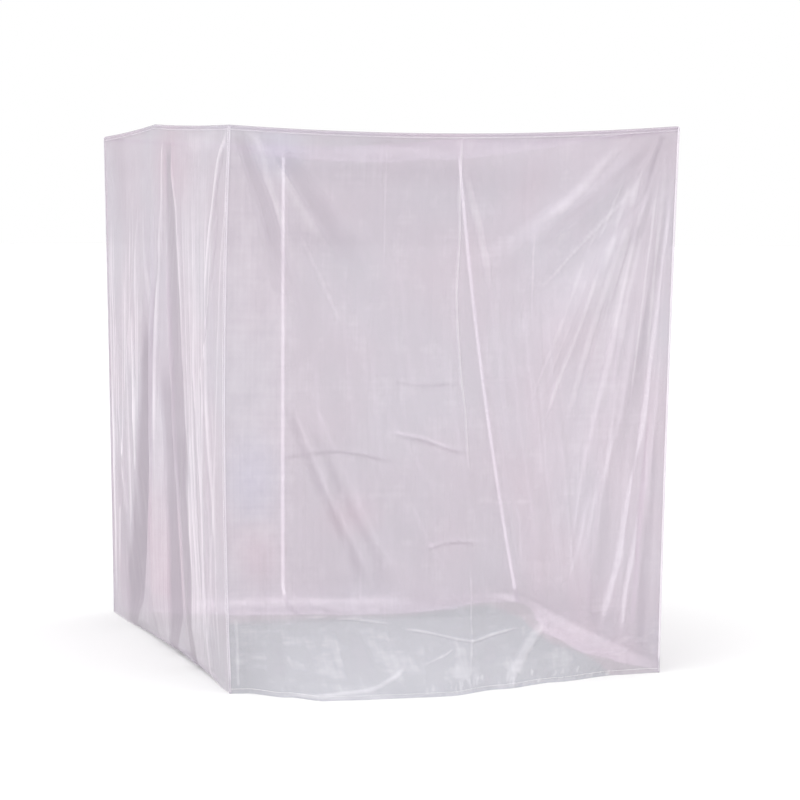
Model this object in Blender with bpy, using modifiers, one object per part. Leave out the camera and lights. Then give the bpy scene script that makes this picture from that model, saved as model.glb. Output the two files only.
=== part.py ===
"""A rectangular mosquito net canopy, hung by its top corners and by the middle of its left long side.

Metres, +Z up, the floor at z = 0. The short front side faces -Y, the long left side faces -X. Each
sewn length of net is one thin sheet between two upright seams. Its folds and its spare foot on the
floor come from short tables, and a seam keeps its two sheets SEAM_GAP apart.
"""

import math
from collections import namedtuple

import bmesh
import bpy
from mathutils import Vector

WIDTH = 1.50  # the short front side between its tied corners, along X
LENGTH = 1.90  # the long side, along Y
HEIGHT = 1.81  # the tied corners above the floor
SHEET = 0.0015  # thickness of the net
SEAM_GAP = 0.0004  # between two sheets that a seam joins
SKEW_ROOM = 0.0003  # more of it where a side meets the front or back out of square
ROOF_RISE = 0.0019  # the roof's middle surface over the walls' top rims
ROOF_SAG = 0.092  # the roof's middle under its tied edges
BINDING_DROP = 0.014  # height of the binding round the top edge
BINDING_SHEET = 0.0010
TOP_BAND = 0.022  # the walls' first row of faces, which lies flat behind the binding
KNEE_SHARE = 0.80  # share of a wall's depth above its knee, where the foot leaves the wall
FOLD_RISE = 0.45  # a fold has its full depth this share of the way down
FOLD_FALL = 0.60  # and, where it ends above the floor, starts to die out here
LOBE_INSET = (0.02, 0.20)  # a roof lobe grows between these distances from the roof's sides
CORNER_EASE = 0.05  # a fold dies out this far from an upright seam
HEM_CALM = 0.16  # a fold eases flat from this height down to the straight hem
MIDDLE_OF_PLAN = Vector((0.038, -0.108, 0.0))  # middle of the whole outline, foot and all

# An upright seam or folded corner: its place in units of half the plan, then how far it stands off
# that place at the top, half way down and at the floor, because the net is hung a little askew.
Upright = namedtuple("Upright", "x y top_x top_y top_z middle_x middle_y foot_x foot_y")
UPRIGHTS = {
    "front_left": Upright(-1, -1, 0.000, 0.000, -0.005, 0.002, 0.000, 0.005, 0.005),
    "front_right": Upright(1, -1, 0.026, 0.000, 0.008, -0.005, 0.000, -0.018, 0.020),
    "back_left": Upright(-1, 1, -0.012, 0.000, -0.007, 0.006, 0.000, 0.022, 0.000),
    "back_seam": Upright(-0.087, 1, 0.000, 0.000, -0.030, 0.000, 0.008, 0.000, 0.004),
    "back_right": Upright(1, 1, -0.105, 0.000, 0.004, -0.008, -0.020, 0.105, -0.145),
}

# How far the hem lies out from its wall on the floor, at stations along the wall. Inwards is minus.
Foot = namedtuple("Foot", "along out")
# A soft ridge, or with a minus depth a trough, from a point high on a wall to a lower one. Along
# is measured from the wall's first upright and bow is how far the fold curves aside half way.
Fold = namedtuple("Fold", "along height to_along to_height width to_width depth bow")
Wall = namedtuple("Wall", "first last out sag tie rise knee turn_out turn_up columns rows foot folds")

FRONT_WALL = Wall(
    "front_left", "front_right", (0, -1), sag=0.026, tie=0.5, rise=0.0,
    knee=0.22, turn_out=0.18, turn_up=0.12, columns=36, rows=19,
    foot=(
        Foot(0.00, 0.00), Foot(0.05, 0.01), Foot(0.16, 0.12), Foot(0.26, 0.22), Foot(0.42, 0.235),
        Foot(0.66, 0.245), Foot(0.87, 0.165), Foot(1.10, 0.085), Foot(1.34, 0.01), Foot(1.50, 0.00),
    ),
    folds=(
        Fold(0.08, 1.75, 0.36, 0.95, 0.12, 0.22, 0.014, 0.00),
        Fold(0.13, 1.74, 0.46, 1.10, 0.12, 0.24, -0.018, 0.01),
        Fold(0.20, 1.75, 0.66, 1.10, 0.14, 0.26, 0.014, 0.00),
        Fold(1.43, 1.77, 0.80, 1.30, 0.14, 0.34, 0.020, 0.05),
        Fold(1.44, 1.76, 0.92, 1.10, 0.14, 0.32, -0.020, 0.05),
        Fold(1.45, 1.75, 1.00, 0.90, 0.14, 0.26, 0.020, 0.04),
        Fold(1.44, 1.70, 1.32, 0.70, 0.12, 0.20, 0.014, 0.04),
        Fold(0.76, 1.76, 0.83, 0.00, 0.14, 0.18, 0.010, 0.00),
        Fold(0.40, 1.10, 0.42, 0.00, 0.12, 0.24, -0.012, 0.00),
        Fold(1.14, 0.90, 1.10, 0.00, 0.12, 0.22, 0.012, 0.00),
    ),
)
RIGHT_WALL = Wall(
    "front_right", "back_right", (1, 0), sag=0.022, tie=0.5, rise=0.0,
    knee=0.07, turn_out=0.00, turn_up=0.00, columns=54, rows=21,
    foot=(
        Foot(0.00, 0.00), Foot(0.08, 0.00), Foot(0.30, -0.07), Foot(0.55, -0.13), Foot(0.80, -0.12),
        Foot(1.05, -0.13), Foot(1.35, -0.07), Foot(1.60, -0.02), Foot(1.72, 0.00), Foot(1.90, 0.00),
    ),
    folds=(
        Fold(0.14, 1.20, 0.27, 0.00, 0.12, 0.18, -0.022, -0.02),
        Fold(0.12, 1.62, 0.44, 0.00, 0.14, 0.20, 0.024, -0.08),
        Fold(0.16, 1.66, 0.64, 0.00, 0.14, 0.22, 0.026, -0.08),
        Fold(0.22, 1.66, 0.81, 0.00, 0.16, 0.22, -0.026, -0.05),
        Fold(0.28, 1.68, 1.00, 0.00, 0.18, 0.26, 0.026, -0.02),
        Fold(0.36, 1.70, 1.30, 0.40, 0.22, 0.36, -0.018, 0.02),
        Fold(1.55, 1.70, 1.48, 0.00, 0.18, 0.28, 0.018, 0.00),
        Fold(1.75, 1.66, 1.68, 0.00, 0.16, 0.22, -0.012, 0.00),
    ),
)
LEFT_WALL = Wall(
    "front_left", "back_left", (-1, 0), sag=0.004, tie=0.55, rise=0.026,
    knee=0.05, turn_out=0.00, turn_up=0.00, columns=44, rows=17,
    foot=(
        Foot(0.00, 0.00), Foot(0.12, 0.00), Foot(0.40, -0.04), Foot(0.95, -0.06), Foot(1.30, -0.04),
        Foot(1.60, 0.00), Foot(1.90, 0.00),
    ),
    folds=(
        Fold(0.10, 1.72, 0.27, 0.00, 0.12, 0.20, 0.016, 0.03),
        Fold(0.88, 1.74, 0.46, 0.00, 0.14, 0.28, 0.018, 0.02),
        Fold(0.95, 1.79, 0.76, 0.00, 0.12, 0.32, -0.030, 0.02),
        Fold(1.04, 1.79, 1.06, 0.00, 0.12, 0.34, 0.024, 0.00),
        Fold(1.13, 1.78, 1.52, 0.00, 0.12, 0.36, -0.032, -0.08),
        Fold(1.22, 1.74, 1.72, 0.00, 0.14, 0.24, 0.014, 0.05),
    ),
)
BACK_NARROW = Wall(
    "back_left", "back_seam", (0, 1), sag=0.006, tie=0.5, rise=0.0,
    knee=0.10, turn_out=0.00, turn_up=0.00, columns=14, rows=15,
    foot=(Foot(0.00, 0.00), Foot(0.10, 0.00), Foot(0.30, -0.14), Foot(0.50, -0.23), Foot(0.70, -0.26)),
    folds=(
        Fold(0.22, 1.70, 0.24, 0.00, 0.10, 0.20, -0.014, 0.00),
        Fold(0.42, 1.65, 0.46, 0.00, 0.12, 0.20, 0.012, 0.00),
    ),
)
BACK_WIDE = Wall(
    "back_seam", "back_right", (0, 1), sag=0.016, tie=0.5, rise=0.0,
    knee=0.10, turn_out=0.00, turn_up=0.00, columns=22, rows=17,
    foot=(
        Foot(0.00, -0.26), Foot(0.20, -0.29), Foot(0.42, -0.27), Foot(0.62, -0.20), Foot(0.80, -0.04),
        Foot(0.85, 0.00), Foot(1.00, 0.00),
    ),
    folds=(
        Fold(0.05, 1.15, 0.34, 0.00, 0.10, 0.18, -0.024, -0.04),
        Fold(0.07, 1.20, 0.50, 0.00, 0.12, 0.20, 0.026, -0.07),
        Fold(0.62, 1.70, 0.70, 0.00, 0.14, 0.24, -0.016, -0.03),
    ),
)
WALLS = {
    "front_wall": FRONT_WALL,
    "right_wall": RIGHT_WALL,
    "left_wall": LEFT_WALL,
    "back_wall_narrow": BACK_NARROW,
    "back_wall_wide": BACK_WIDE,
}
# The roof's lobes, with height read as the distance back from the front edge.
ROOF_FOLDS = (
    Fold(0.34, 0.15, 0.34, 1.75, 0.24, 0.24, 0.012, 0.04),
    Fold(0.98, 0.15, 1.02, 1.75, 0.30, 0.30, 0.010, -0.03),
)
ROOF_COLUMNS = 20
ROOF_ROWS = 20
BINDING_STEPS = 20  # pieces of binding along each side

NET_COLOUR = (0.80, 0.76, 0.81, 1.0)
BINDING_COLOUR = (0.84, 0.81, 0.85, 1.0)


def ease(value, low, high):
    """0 below low and 1 above high, with a smooth step between them."""
    t = min(max((value - low) / (high - low), 0.0), 1.0)
    return t * t * (3.0 - 2.0 * t)


def between_stations(stations, along):
    """The foot's reach at this distance along a wall, eased from station to station."""
    for near, far in zip(stations, stations[1:]):
        if along <= far.along:
            return near.out + (far.out - near.out) * ease(along, near.along, far.along)
    return stations[-1].out


def upright_point(name, share):
    """A point of an upright, with share running from 0 at the floor to 1 at its top."""
    row = UPRIGHTS[name]
    top, middle, foot = share * (2 * share - 1), 4 * share * (1 - share), (1 - share) * (1 - 2 * share)
    return Vector((
        row.x * WIDTH / 2 + row.top_x * top + row.middle_x * middle + row.foot_x * foot,
        row.y * LENGTH / 2 + row.top_y * top + row.middle_y * middle + row.foot_y * foot,
        share * (HEIGHT + row.top_z),
    ))


def fold_depth(folds, along, height, reach):
    """How far the folds push the net out at a point. They die out at both ends of the reach."""
    total = 0.0
    for fold in folds:
        run = (height - fold.height) / (fold.to_height - fold.height)
        if not 0.0 < run < 1.0:
            continue
        middle = fold.along + (fold.to_along - fold.along) * run + fold.bow * 4 * run * (1 - run)
        width = fold.width + (fold.to_width - fold.width) * run
        aside = abs(along - middle) / (width / 2)
        if aside < 1.0:
            fade = ease(run, 0.0, FOLD_RISE)
            if fold.to_height > 0.0:
                fade *= 1.0 - ease(run, FOLD_FALL, 1.0)
            total += fold.depth * fade * (1 + math.cos(math.pi * aside)) / 2
    total *= ease(height, 0.0, HEM_CALM)
    return total * ease(along, 0.0, CORNER_EASE) * ease(reach - along, 0.0, CORNER_EASE)


def edge_drop(wall, share):
    """How far the top edge hangs under the straight line between its uprights."""
    if wall.rise == 0.0:
        return wall.sag * 4 * share * (1 - share)
    span = share / wall.tie if share < wall.tie else (1 - share) / (1 - wall.tie)
    return wall.sag * 4 * span * (1 - span) - wall.rise * span


def trims(wall):
    """How far a wall's sheet stops short of its two uprights. The front and back cover the sides' ends."""
    lap, butt, seam = -SHEET / 2, SHEET / 2 + SEAM_GAP + SKEW_ROOM, SEAM_GAP / 2
    if wall.out[0]:
        return butt, butt
    return (seam if "seam" in wall.first else lap), (seam if "seam" in wall.last else lap)


def hung_point(wall, share_along, share_up, start=0.0, stop=0.0):
    """A point of the plain wall between its uprights, with its sagging top edge and no folds."""
    first, last = upright_point(wall.first, share_up), upright_point(wall.last, share_up)
    run = (last - first).to_2d().normalized().to_3d()
    point = (first + run * start).lerp(last - run * stop, share_along)
    point.z -= edge_drop(wall, share_along) * share_up
    return point


def wall_point(wall, share_along, share_down):
    """A point of the finished wall: share_down is 0 at the top edge and 1 at the hem."""
    start, stop = trims(wall)
    top_height = hung_point(wall, share_along, 1.0).z
    if share_down <= KNEE_SHARE:
        height = top_height + (wall.knee - top_height) * share_down / KNEE_SHARE
        out = 0.0
    else:
        t = (share_down - KNEE_SHARE) / (1 - KNEE_SHARE)
        reach = between_stations(wall.foot, share_along * wall.foot[-1].along)
        height = (1 - t) ** 2 * wall.knee + 2 * t * (1 - t) * wall.turn_up + t * t * SHEET / 2
        out = (2 * t * (1 - t) * wall.turn_out + t * t) * reach
    point = hung_point(wall, share_along, height / top_height, start, stop)
    point.z = height
    length = (hung_point(wall, 1.0, 1.0) - hung_point(wall, 0.0, 1.0)).length
    out += fold_depth(wall.folds, share_along * length, height, length)
    return point + Vector((wall.out[0], wall.out[1], 0.0)) * out - MIDDLE_OF_PLAN


def roof_point(share_x, share_y):
    """A point of the roof, stretched between the walls' top edges and sagging in its middle."""
    front, right, left = FRONT_WALL, RIGHT_WALL, LEFT_WALL
    near, far = hung_point(front, share_x, 1.0), back_point(share_x, 1.0)
    west, east = hung_point(left, share_y, 1.0), hung_point(right, share_y, 1.0)
    corner = [upright_point(name, 1.0) for name in ("front_left", "front_right", "back_left", "back_right")]
    near_chord, far_chord = corner[0].lerp(corner[1], share_x), corner[2].lerp(corner[3], share_x)
    point = near.lerp(far, share_y) + west.lerp(east, share_x) - near_chord.lerp(far_chord, share_y)
    dome = 16 * share_x * (1 - share_x) * share_y * (1 - share_y)
    inset_x = min(share_x, 1 - share_x) * WIDTH
    lobes = fold_depth(ROOF_FOLDS, share_x * WIDTH, share_y * LENGTH, WIDTH) * ease(inset_x, *LOBE_INSET)
    point.z += ROOF_RISE - ROOF_SAG * dome + lobes
    return point - MIDDLE_OF_PLAN


def back_point(share, share_up):
    """A point of the plain back, over its narrow and its wide length."""
    first, seam, last = (upright_point(name, share_up).x for name in ("back_left", "back_seam", "back_right"))
    x = first + (last - first) * share
    if x < seam:
        return hung_point(BACK_NARROW, (x - first) / (seam - first), share_up)
    return hung_point(BACK_WIDE, (x - seam) / (last - seam), share_up)


def net_material(name, colour):
    material = bpy.data.materials.new(name)
    material.use_nodes = True
    shader = material.node_tree.nodes["Principled BSDF"]
    shader.inputs["Base Color"].default_value = colour
    shader.inputs["Roughness"].default_value = 0.75
    shader.inputs["Metallic"].default_value = 0.0
    return material


def sheet_object(name, mesh, colour, thickness, collection):
    """An open surface made a thin closed sheet of net."""
    sheet = bpy.data.objects.new(name, mesh)
    collection.objects.link(sheet)
    mesh.materials.append(net_material(name + "_net", colour))
    mesh.shade_smooth()
    solidify = sheet.modifiers.new("Thickness", "SOLIDIFY")
    solidify.thickness = thickness
    solidify.offset = 0.0
    return sheet


def grid_sheet(name, columns, rows, place, collection):
    """A grid of faces with each corner set by place(share_across, share_down)."""
    mesh = bpy.data.meshes.new(name)
    grid = bmesh.new()
    bmesh.ops.create_grid(grid, x_segments=columns, y_segments=rows, size=0.5)
    for vert in grid.verts:
        vert.co = place(vert.co.x + 0.5, 0.5 - vert.co.y)
    grid.to_mesh(mesh)
    grid.free()
    return sheet_object(name, mesh, NET_COLOUR, SHEET, collection)


def row_share(share, wall):
    """Spreads a wall's rows evenly under a first narrow one, which the binding covers."""
    first = 1.0 / (wall.rows + 1)
    band = TOP_BAND / HEIGHT * KNEE_SHARE
    if share <= first:
        return band * share / first
    return band + (1 - band) * (share - first) / (1 - first)


def add_wall(name, wall, collection):
    def place(across, down):
        return wall_point(wall, across, row_share(down, wall))

    grid_sheet(name, wall.columns, wall.rows + 1, place, collection)


def add_roof(collection):
    def place(across, down):
        return roof_point(across, 1.0 - down)

    grid_sheet("roof", ROOF_COLUMNS, ROOF_ROWS, place, collection)


def outline(share_up, aside):
    """Once round the plain walls at one height, this far outside them."""
    sides = (
        (lambda share: hung_point(FRONT_WALL, share, share_up), Vector((0, -1, 0))),
        (lambda share: hung_point(RIGHT_WALL, share, share_up), Vector((1, 0, 0))),
        (lambda share: back_point(1 - share, share_up), Vector((0, 1, 0))),
        (lambda share: hung_point(LEFT_WALL, 1 - share, share_up), Vector((-1, 0, 0))),
    )
    points = []
    for index, (side, out) in enumerate(sides):
        points.append(side(0.0) + (out + sides[index - 1][1]) * aside)
        points += [side(step / BINDING_STEPS) + out * aside for step in range(1, BINDING_STEPS)]
    return points


def add_binding(collection):
    """The tape sewn over the seam of roof and walls, just outside both."""
    mesh = bpy.data.meshes.new("top_binding")
    tape = bmesh.new()
    aside = SHEET / 2 + SEAM_GAP + BINDING_SHEET / 2
    crown = Vector((0, 0, ROOF_RISE + SHEET / 2))
    loops = []
    for share_up, lift in ((1.0, crown), (1.0 - BINDING_DROP / HEIGHT, Vector())):
        verts = [tape.verts.new(point + lift - MIDDLE_OF_PLAN) for point in outline(share_up, aside)]
        loops += [tape.edges.new((verts[i - 1], verts[i])) for i in range(len(verts))]
    bmesh.ops.bridge_loops(tape, edges=loops)
    bmesh.ops.recalc_face_normals(tape, faces=tape.faces)
    tape.to_mesh(mesh)
    tape.free()
    sheet_object("top_binding", mesh, BINDING_COLOUR, BINDING_SHEET, collection)


def main():
    for leftover in list(bpy.data.objects):
        bpy.data.objects.remove(leftover, do_unlink=True)
    collection = bpy.data.collections.new("mosquito_net_canopy")
    bpy.context.scene.collection.children.link(collection)
    for name, wall in WALLS.items():
        add_wall(name, wall, collection)
    add_roof(collection)
    add_binding(collection)


main()
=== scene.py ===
"""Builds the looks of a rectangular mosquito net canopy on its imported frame.

Metres, +Z up, the floor at z = 0. The short front side faces -Y, the long left side faces -X. Each
sheet of net is a fine grid on the folds of its solid, with its own creases, pleats and rumples.
"""

import math
from collections import namedtuple

import bmesh
import bpy
import numpy as np
from mathutils import Matrix, Vector


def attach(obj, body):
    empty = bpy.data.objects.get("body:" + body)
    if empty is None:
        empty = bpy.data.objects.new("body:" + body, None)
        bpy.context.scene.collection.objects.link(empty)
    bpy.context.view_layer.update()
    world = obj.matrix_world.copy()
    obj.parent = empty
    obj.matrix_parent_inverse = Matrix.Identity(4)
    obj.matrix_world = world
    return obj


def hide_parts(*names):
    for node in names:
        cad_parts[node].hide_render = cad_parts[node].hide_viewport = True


bl_info = {
    "name": "Mosquito Net Canopy",
    "version": (1, 0, 0),
    "blender": (4, 5, 0),
    "location": "3D View > Sidebar > Net Canopy",
    "description": "Dresses the packed frame of a hung mosquito net with sheer sheets, seams and stitches",
    "category": "Object",
}

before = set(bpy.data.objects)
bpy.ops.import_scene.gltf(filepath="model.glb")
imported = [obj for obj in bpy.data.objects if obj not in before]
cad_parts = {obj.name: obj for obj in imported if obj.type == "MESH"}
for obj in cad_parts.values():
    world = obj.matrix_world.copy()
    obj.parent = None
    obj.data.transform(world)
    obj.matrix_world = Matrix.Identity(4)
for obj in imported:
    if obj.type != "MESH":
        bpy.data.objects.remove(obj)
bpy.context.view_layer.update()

WIDTH = 1.50  # the short front side between its tied corners, along X
LENGTH = 1.90  # the long side, along Y
HEIGHT = 1.81  # the tied corners above the floor
KNEE_SHARE = 0.80  # share of a wall's depth above its knee, where the foot leaves the wall
KNEE_ROWS = 0.68  # share of a wall's rows that lie above its knee
CORNER_EASE = 0.05  # a fold dies out this far from an upright seam
CREASE_EASE = 0.012  # and a crease this far
FOLD_GROWN, FOLD_FADES = 0.45, 0.6  # shares of its way where a fold is full and where it starts to die
HEM_CALM = 0.16  # a fold eases flat from this height down to the straight hem
LYING_HEIGHT = 0.12  # under this height the net more and more lies on the floor
LYING_LOSS, LYING_LIFT = 0.7, 0.5  # there a crease pushes out by so much less and lifts by so much
RIM_CALM = 0.06  # share of a wall's depth under its rim over which its rumples come in
FOOT_CALM, STREAKS_END = 0.8, 0.97  # its streaks lose so much by this share of its depth
CRUMPLE_MARGIN, CRUMPLES_FULL = 0.06, 0.96  # crumples start so far above the knee and are full here
FLOOR_GAP = 0.0006  # the lowest that net lies over the floor
MIDDLE_OF_PLAN = np.array((0.038, -0.108, 0.0))  # middle of the whole outline, foot and all

# An upright seam or folded corner: its place in units of half the plan, then how far it stands off
# that place at the top, half way down and at the floor, because the net is hung a little askew.
Upright = namedtuple("Upright", "x y top_x top_y top_z middle_x middle_y foot_x foot_y")
UPRIGHTS = {
    "front_left": Upright(-1, -1, 0.000, 0.000, -0.005, -0.018, 0.000, 0.005, 0.005),
    "front_right": Upright(1, -1, 0.026, 0.000, 0.008, -0.005, 0.000, -0.018, 0.020),
    "back_left": Upright(-1, 1, -0.012, 0.000, -0.007, 0.006, 0.000, 0.022, 0.000),
    "back_seam": Upright(-0.087, 1, 0.000, 0.000, -0.030, 0.000, 0.008, 0.000, 0.004),
    "back_right": Upright(1, 1, -0.105, 0.000, 0.004, -0.008, -0.020, 0.105, -0.145),
}

# A soft ridge, or with a minus depth a trough, from a point high on a wall to a lower one. Along
# is measured from the wall's first upright and bow is how far the fold curves aside half way.
Fold = namedtuple("Fold", "along height to_along to_height width to_width depth bow", defaults=(0.0,))
# A narrow crease along a smooth route of (along, height) points on a wall. Gather is how densely its
# threads bunch up there, drawn denser and lighter, partly with painted highlight, and with a minus it
# is painted shade that darkens the crease. Tuck is how far the cloth doubles back under itself, and
# to_width is the width at the route's end where it isn't that of its start. A low edge gives a flat
# middle and crisp edges. Ends are the shares of the way in which it grows and dies. One without depth
# is a soft band of net lightened with painted highlight, or with a minus darkened with painted shade.
Crease = namedtuple(
    "Crease", "route width depth gather tuck to_width edge ends", defaults=(0.0, None, 1.0, (0.25, 0.70))
)
# A fan of fine pleats, some ridges drawn lighter, partly with painted highlight, and some troughs
# darkened with painted shade: where the first and last start and end, how many, and their usual size.
Pleats = namedtuple("Pleats", "first last height to_first to_last to_height count width depth gather seed")
# How strongly a sheet is rumpled: upright streaks, broad waves, crumples near the floor and the
# painted light and shade of the facets of cloth that lies there.
Rumple = namedtuple("Rumple", "streak wave crumple facet seed")
# A wall from its first upright to its last, and the way that it faces. Its top edge sags between its
# ends and a tie, which may rise. Its foot is how far the hem lies out on the floor at stations along
# the wall, with a minus for inwards. It leaves the wall at the knee and turns by the turn's two sizes.
Wall = namedtuple(
    "Wall",
    "node first last out sag knee columns rows foot folds creases pleats rumple tie rise turn_out turn_up",
    defaults=(0.5, 0.0, 0.0, 0.0),
)

FRONT_WALL = Wall(
    "front_wall", "front_left", "front_right", (0, -1), sag=0.026, knee=0.22, turn_out=0.18, turn_up=0.12,
    columns=490, rows=196,
    foot=((0.0, 0.0), (0.05, 0.01), (0.16, 0.12), (0.26, 0.22), (0.42, 0.235), (0.66, 0.245), (0.87, 0.165),
        (1.1, 0.085), (1.34, 0.01), (1.5, 0.0)),
    folds=(
        Fold(0.08, 1.75, 0.36, 0.95, 0.12, 0.22, 0.014),
        Fold(0.13, 1.74, 0.46, 1.1, 0.12, 0.24, -0.018, 0.01),
        Fold(0.2, 1.75, 0.66, 1.1, 0.14, 0.26, 0.014),
        Fold(1.43, 1.77, 0.8, 1.3, 0.14, 0.34, 0.02, 0.05),
        Fold(1.44, 1.76, 0.92, 1.1, 0.14, 0.32, -0.02, 0.05),
        Fold(1.45, 1.75, 1.0, 0.9, 0.14, 0.26, 0.02, 0.04),
        Fold(1.44, 1.7, 1.32, 0.7, 0.12, 0.2, 0.014, 0.04),
        Fold(0.76, 1.76, 0.83, 0.0, 0.14, 0.18, 0.01),
        Fold(0.4, 1.1, 0.42, 0.0, 0.12, 0.24, -0.012),
        Fold(1.14, 0.9, 1.1, 0.0, 0.12, 0.22, 0.012),
    ),
    creases=(
        Crease(((0.03, 1.785), (0.052, 1.734), (0.092, 1.633), (0.128, 1.552), (0.156, 1.44), (0.18, 1.33),
            (0.21, 1.22)), 0.046, -0.005, -0.56, to_width=0.08, edge=0.7, ends=(0.1, 0.55)),
        Crease(((0.165, 1.725), (0.21, 1.676), (0.27, 1.6), (0.345, 1.49), (0.42, 1.4), (0.488, 1.33)), 0.07,
            -0.005, -0.44, to_width=0.1, edge=0.7, ends=(0.12, 0.5)),
        Crease(((0.05, 1.8), (0.07, 1.781), (0.107, 1.729), (0.14, 1.603), (0.17, 1.524), (0.215, 1.4)),
            0.03, 0.003, 0.2, to_width=0.05, ends=(0.15, 0.6)),
        Crease(((0.16, 1.69), (0.215, 1.6), (0.28, 1.5), (0.345, 1.4)), 0.04, 0.003, 0.18, to_width=0.07,
            ends=(0.2, 0.6)),
        Crease(((0.17, 1.45), (0.21, 1.33), (0.27, 1.2)), 0.05, -0.004, -0.22),
        Crease(((0.52, 1.77), (0.526, 1.3)), 0.012, 0.001, 0.1),
        Crease(((0.13, 2.3), (0.12, 0.9), (0.1, -0.3)), 0.3, 0.0, 0.08, edge=0.6),
        Crease(((1.37, 1.6), (1.33, 1.25), (1.28, 0.9), (1.22, 0.55)), 0.14, 0.0, 0.13, to_width=0.24,
            ends=(0.25, 0.6)),
        Crease(((0.772, 1.786), (0.773, 1.574), (0.777, 1.455), (0.772, 1.252), (0.792, 1.018),
            (0.809, 0.895), (0.816, 0.819), (0.824, 0.721), (0.833, 0.643)), 0.013, 0.004, 0.34,
            ends=(0.06, 0.85)),
        Crease(((0.834, 0.403), (0.839, 0.273), (0.828, 0.146), (0.777, 0.013)), 0.014, 0.002, 0.16),
        Crease(((0.778, 1.703), (0.822, 1.554), (0.853, 1.454), (0.895, 1.244)), 0.034, 0.001, 0.16,
            edge=0.7),
        Crease(((1.026, 1.484), (1.035, 1.315), (1.039, 1.126)), 0.012, 0.0, 0.1),
        Crease(((1.47, 1.8), (1.4, 1.7), (1.36, 1.56)), 0.18, 0.0, -0.34, ends=(0.05, 0.5)),
        Crease(((1.475, 1.79), (1.457, 1.75), (1.43, 1.65), (1.405, 1.55)), 0.036, -0.002, -0.56,
            ends=(0.05, 0.6)),
        Crease(((1.47, 1.79), (1.453, 1.76), (1.393, 1.65), (1.342, 1.52)), 0.034, 0.002, 0.36,
            to_width=0.05, ends=(0.1, 0.6)),
        Crease(((1.36, 1.76), (1.302, 1.732), (1.231, 1.657), (1.158, 1.582), (1.078, 1.525),
            (1.002, 1.481)), 0.05, 0.006, 0.2),
        Crease(((1.46, 1.76), (1.33, 1.66), (1.22, 1.57), (1.1, 1.48), (1.03, 1.42)), 0.06, -0.006, -0.36),
        Crease(((1.4, 1.65), (1.328, 1.56), (1.239, 1.467), (1.169, 1.396), (1.108, 1.327), (1.038, 1.266)),
            0.026, 0.002, 0.22, to_width=0.018, ends=(0.3, 0.6)),
        Crease(((1.47, 1.66), (1.36, 1.52), (1.26, 1.43), (1.18, 1.34)), 0.05, -0.004, -0.2),
        Crease(((1.47, 1.74), (1.4, 1.6), (1.34, 1.46), (1.29, 1.32), (1.24, 1.2), (1.2, 1.02)), 0.11, 0.003,
            0.1, to_width=0.16),
        Crease(((0.85, 0.991), (1.05, 0.988)), 0.026, -0.002, -0.14),
        Crease(((0.83, 0.602), (0.97, 0.592), (1.11, 0.596)), 0.026, 0.001, 0.06),
        Crease(((0.581, 0.191), (0.672, 0.176), (0.736, 0.161), (0.803, 0.147), (0.844, 0.145),
            (0.934, 0.164), (1.02, 0.178)), 0.014, 0.004, 0.28, ends=(0.15, 0.85)),
        Crease(((0.24, 0.24), (0.46, 0.219), (0.6, 0.198)), 0.016, 0.003, 0.22),
        Crease(((0.63, 0.084), (0.667, 0.093), (0.723, 0.11), (0.76, 0.125)), 0.014, 0.003, 0.26,
            ends=(0.15, 0.85)),
        Crease(((0.141, 0.004), (0.285, 0.015), (0.421, 0.025), (0.48, 0.041), (0.541, 0.065), (0.58, 0.09)),
            0.018, 0.003, 0.26, ends=(0.15, 0.85)),
        Crease(((1.1, 0.205), (1.082, 0.181), (1.055, 0.144), (1.024, 0.111), (0.982, 0.066), (0.935, 0.023),
            (0.9, -0.01)), 0.05, 0.006, 0.23, edge=0.8, ends=(0.2, 0.7)),
        Crease(((0.35, 0.2), (0.33, 0.12), (0.29, 0.04)), 0.05, 0.0, 0.1, to_width=0.13, edge=0.5),
        Crease(((0.5, 0.2), (0.53, 0.12), (0.58, 0.04)), 0.05, 0.0, 0.09, to_width=0.15, edge=0.5),
        Crease(((0.16, 0.21), (0.15, 0.12), (0.15, 0.03)), 0.05, 0.0, -0.12, to_width=0.09, edge=0.5),
        Crease(((0.43, 0.2), (0.43, 0.12), (0.42, 0.04)), 0.04, 0.0, -0.18, to_width=0.12, edge=0.5),
        Crease(((0.68, 0.15), (0.67, 0.08), (0.65, 0.01)), 0.06, 0.0, -0.14, to_width=0.1, edge=0.5),
        Crease(((0.78, 0.15), (0.77, 0.08), (0.74, 0.01)), 0.05, 0.0, 0.1, to_width=0.08, edge=0.5),
        Crease(((0.9, 0.15), (0.88, 0.09), (0.82, 0.01)), 0.06, 0.0, -0.16, to_width=0.05, edge=0.5),
        Crease(((1.16, 0.12), (1.15, 0.08), (1.14, 0.03)), 0.07, 0.0, 0.1, to_width=0.09, edge=0.5),
        Crease(((0.03, 0.24), (0.03, 0.14), (0.028, 0.02)), 0.014, 0.001, 0.2, edge=0.8, ends=(0.05, 0.95)),
    ),
    pleats=(
        Pleats(0.02, 0.12, 1.77, 0.14, 0.5, 1.15, 9, 0.034, 0.002, 0.08, 11),
        Pleats(1.38, 1.49, 1.78, 1.0, 1.44, 0.8, 18, 0.026, 0.0015, 0.22, 12),
        Pleats(0.62, 1.42, 0.05, 0.6, 1.38, 0.0, 64, 0.015, -0.001, -0.2, 27),
        Pleats(0.1, 1.2, 0.23, 0.12, 1.16, 0.02, 22, 0.03, 0.0, 0.06, 28),
    ),
    rumple=Rumple(streak=0.0005, wave=0.003, crumple=0.0007, facet=0.06, seed=21),
)
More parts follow.
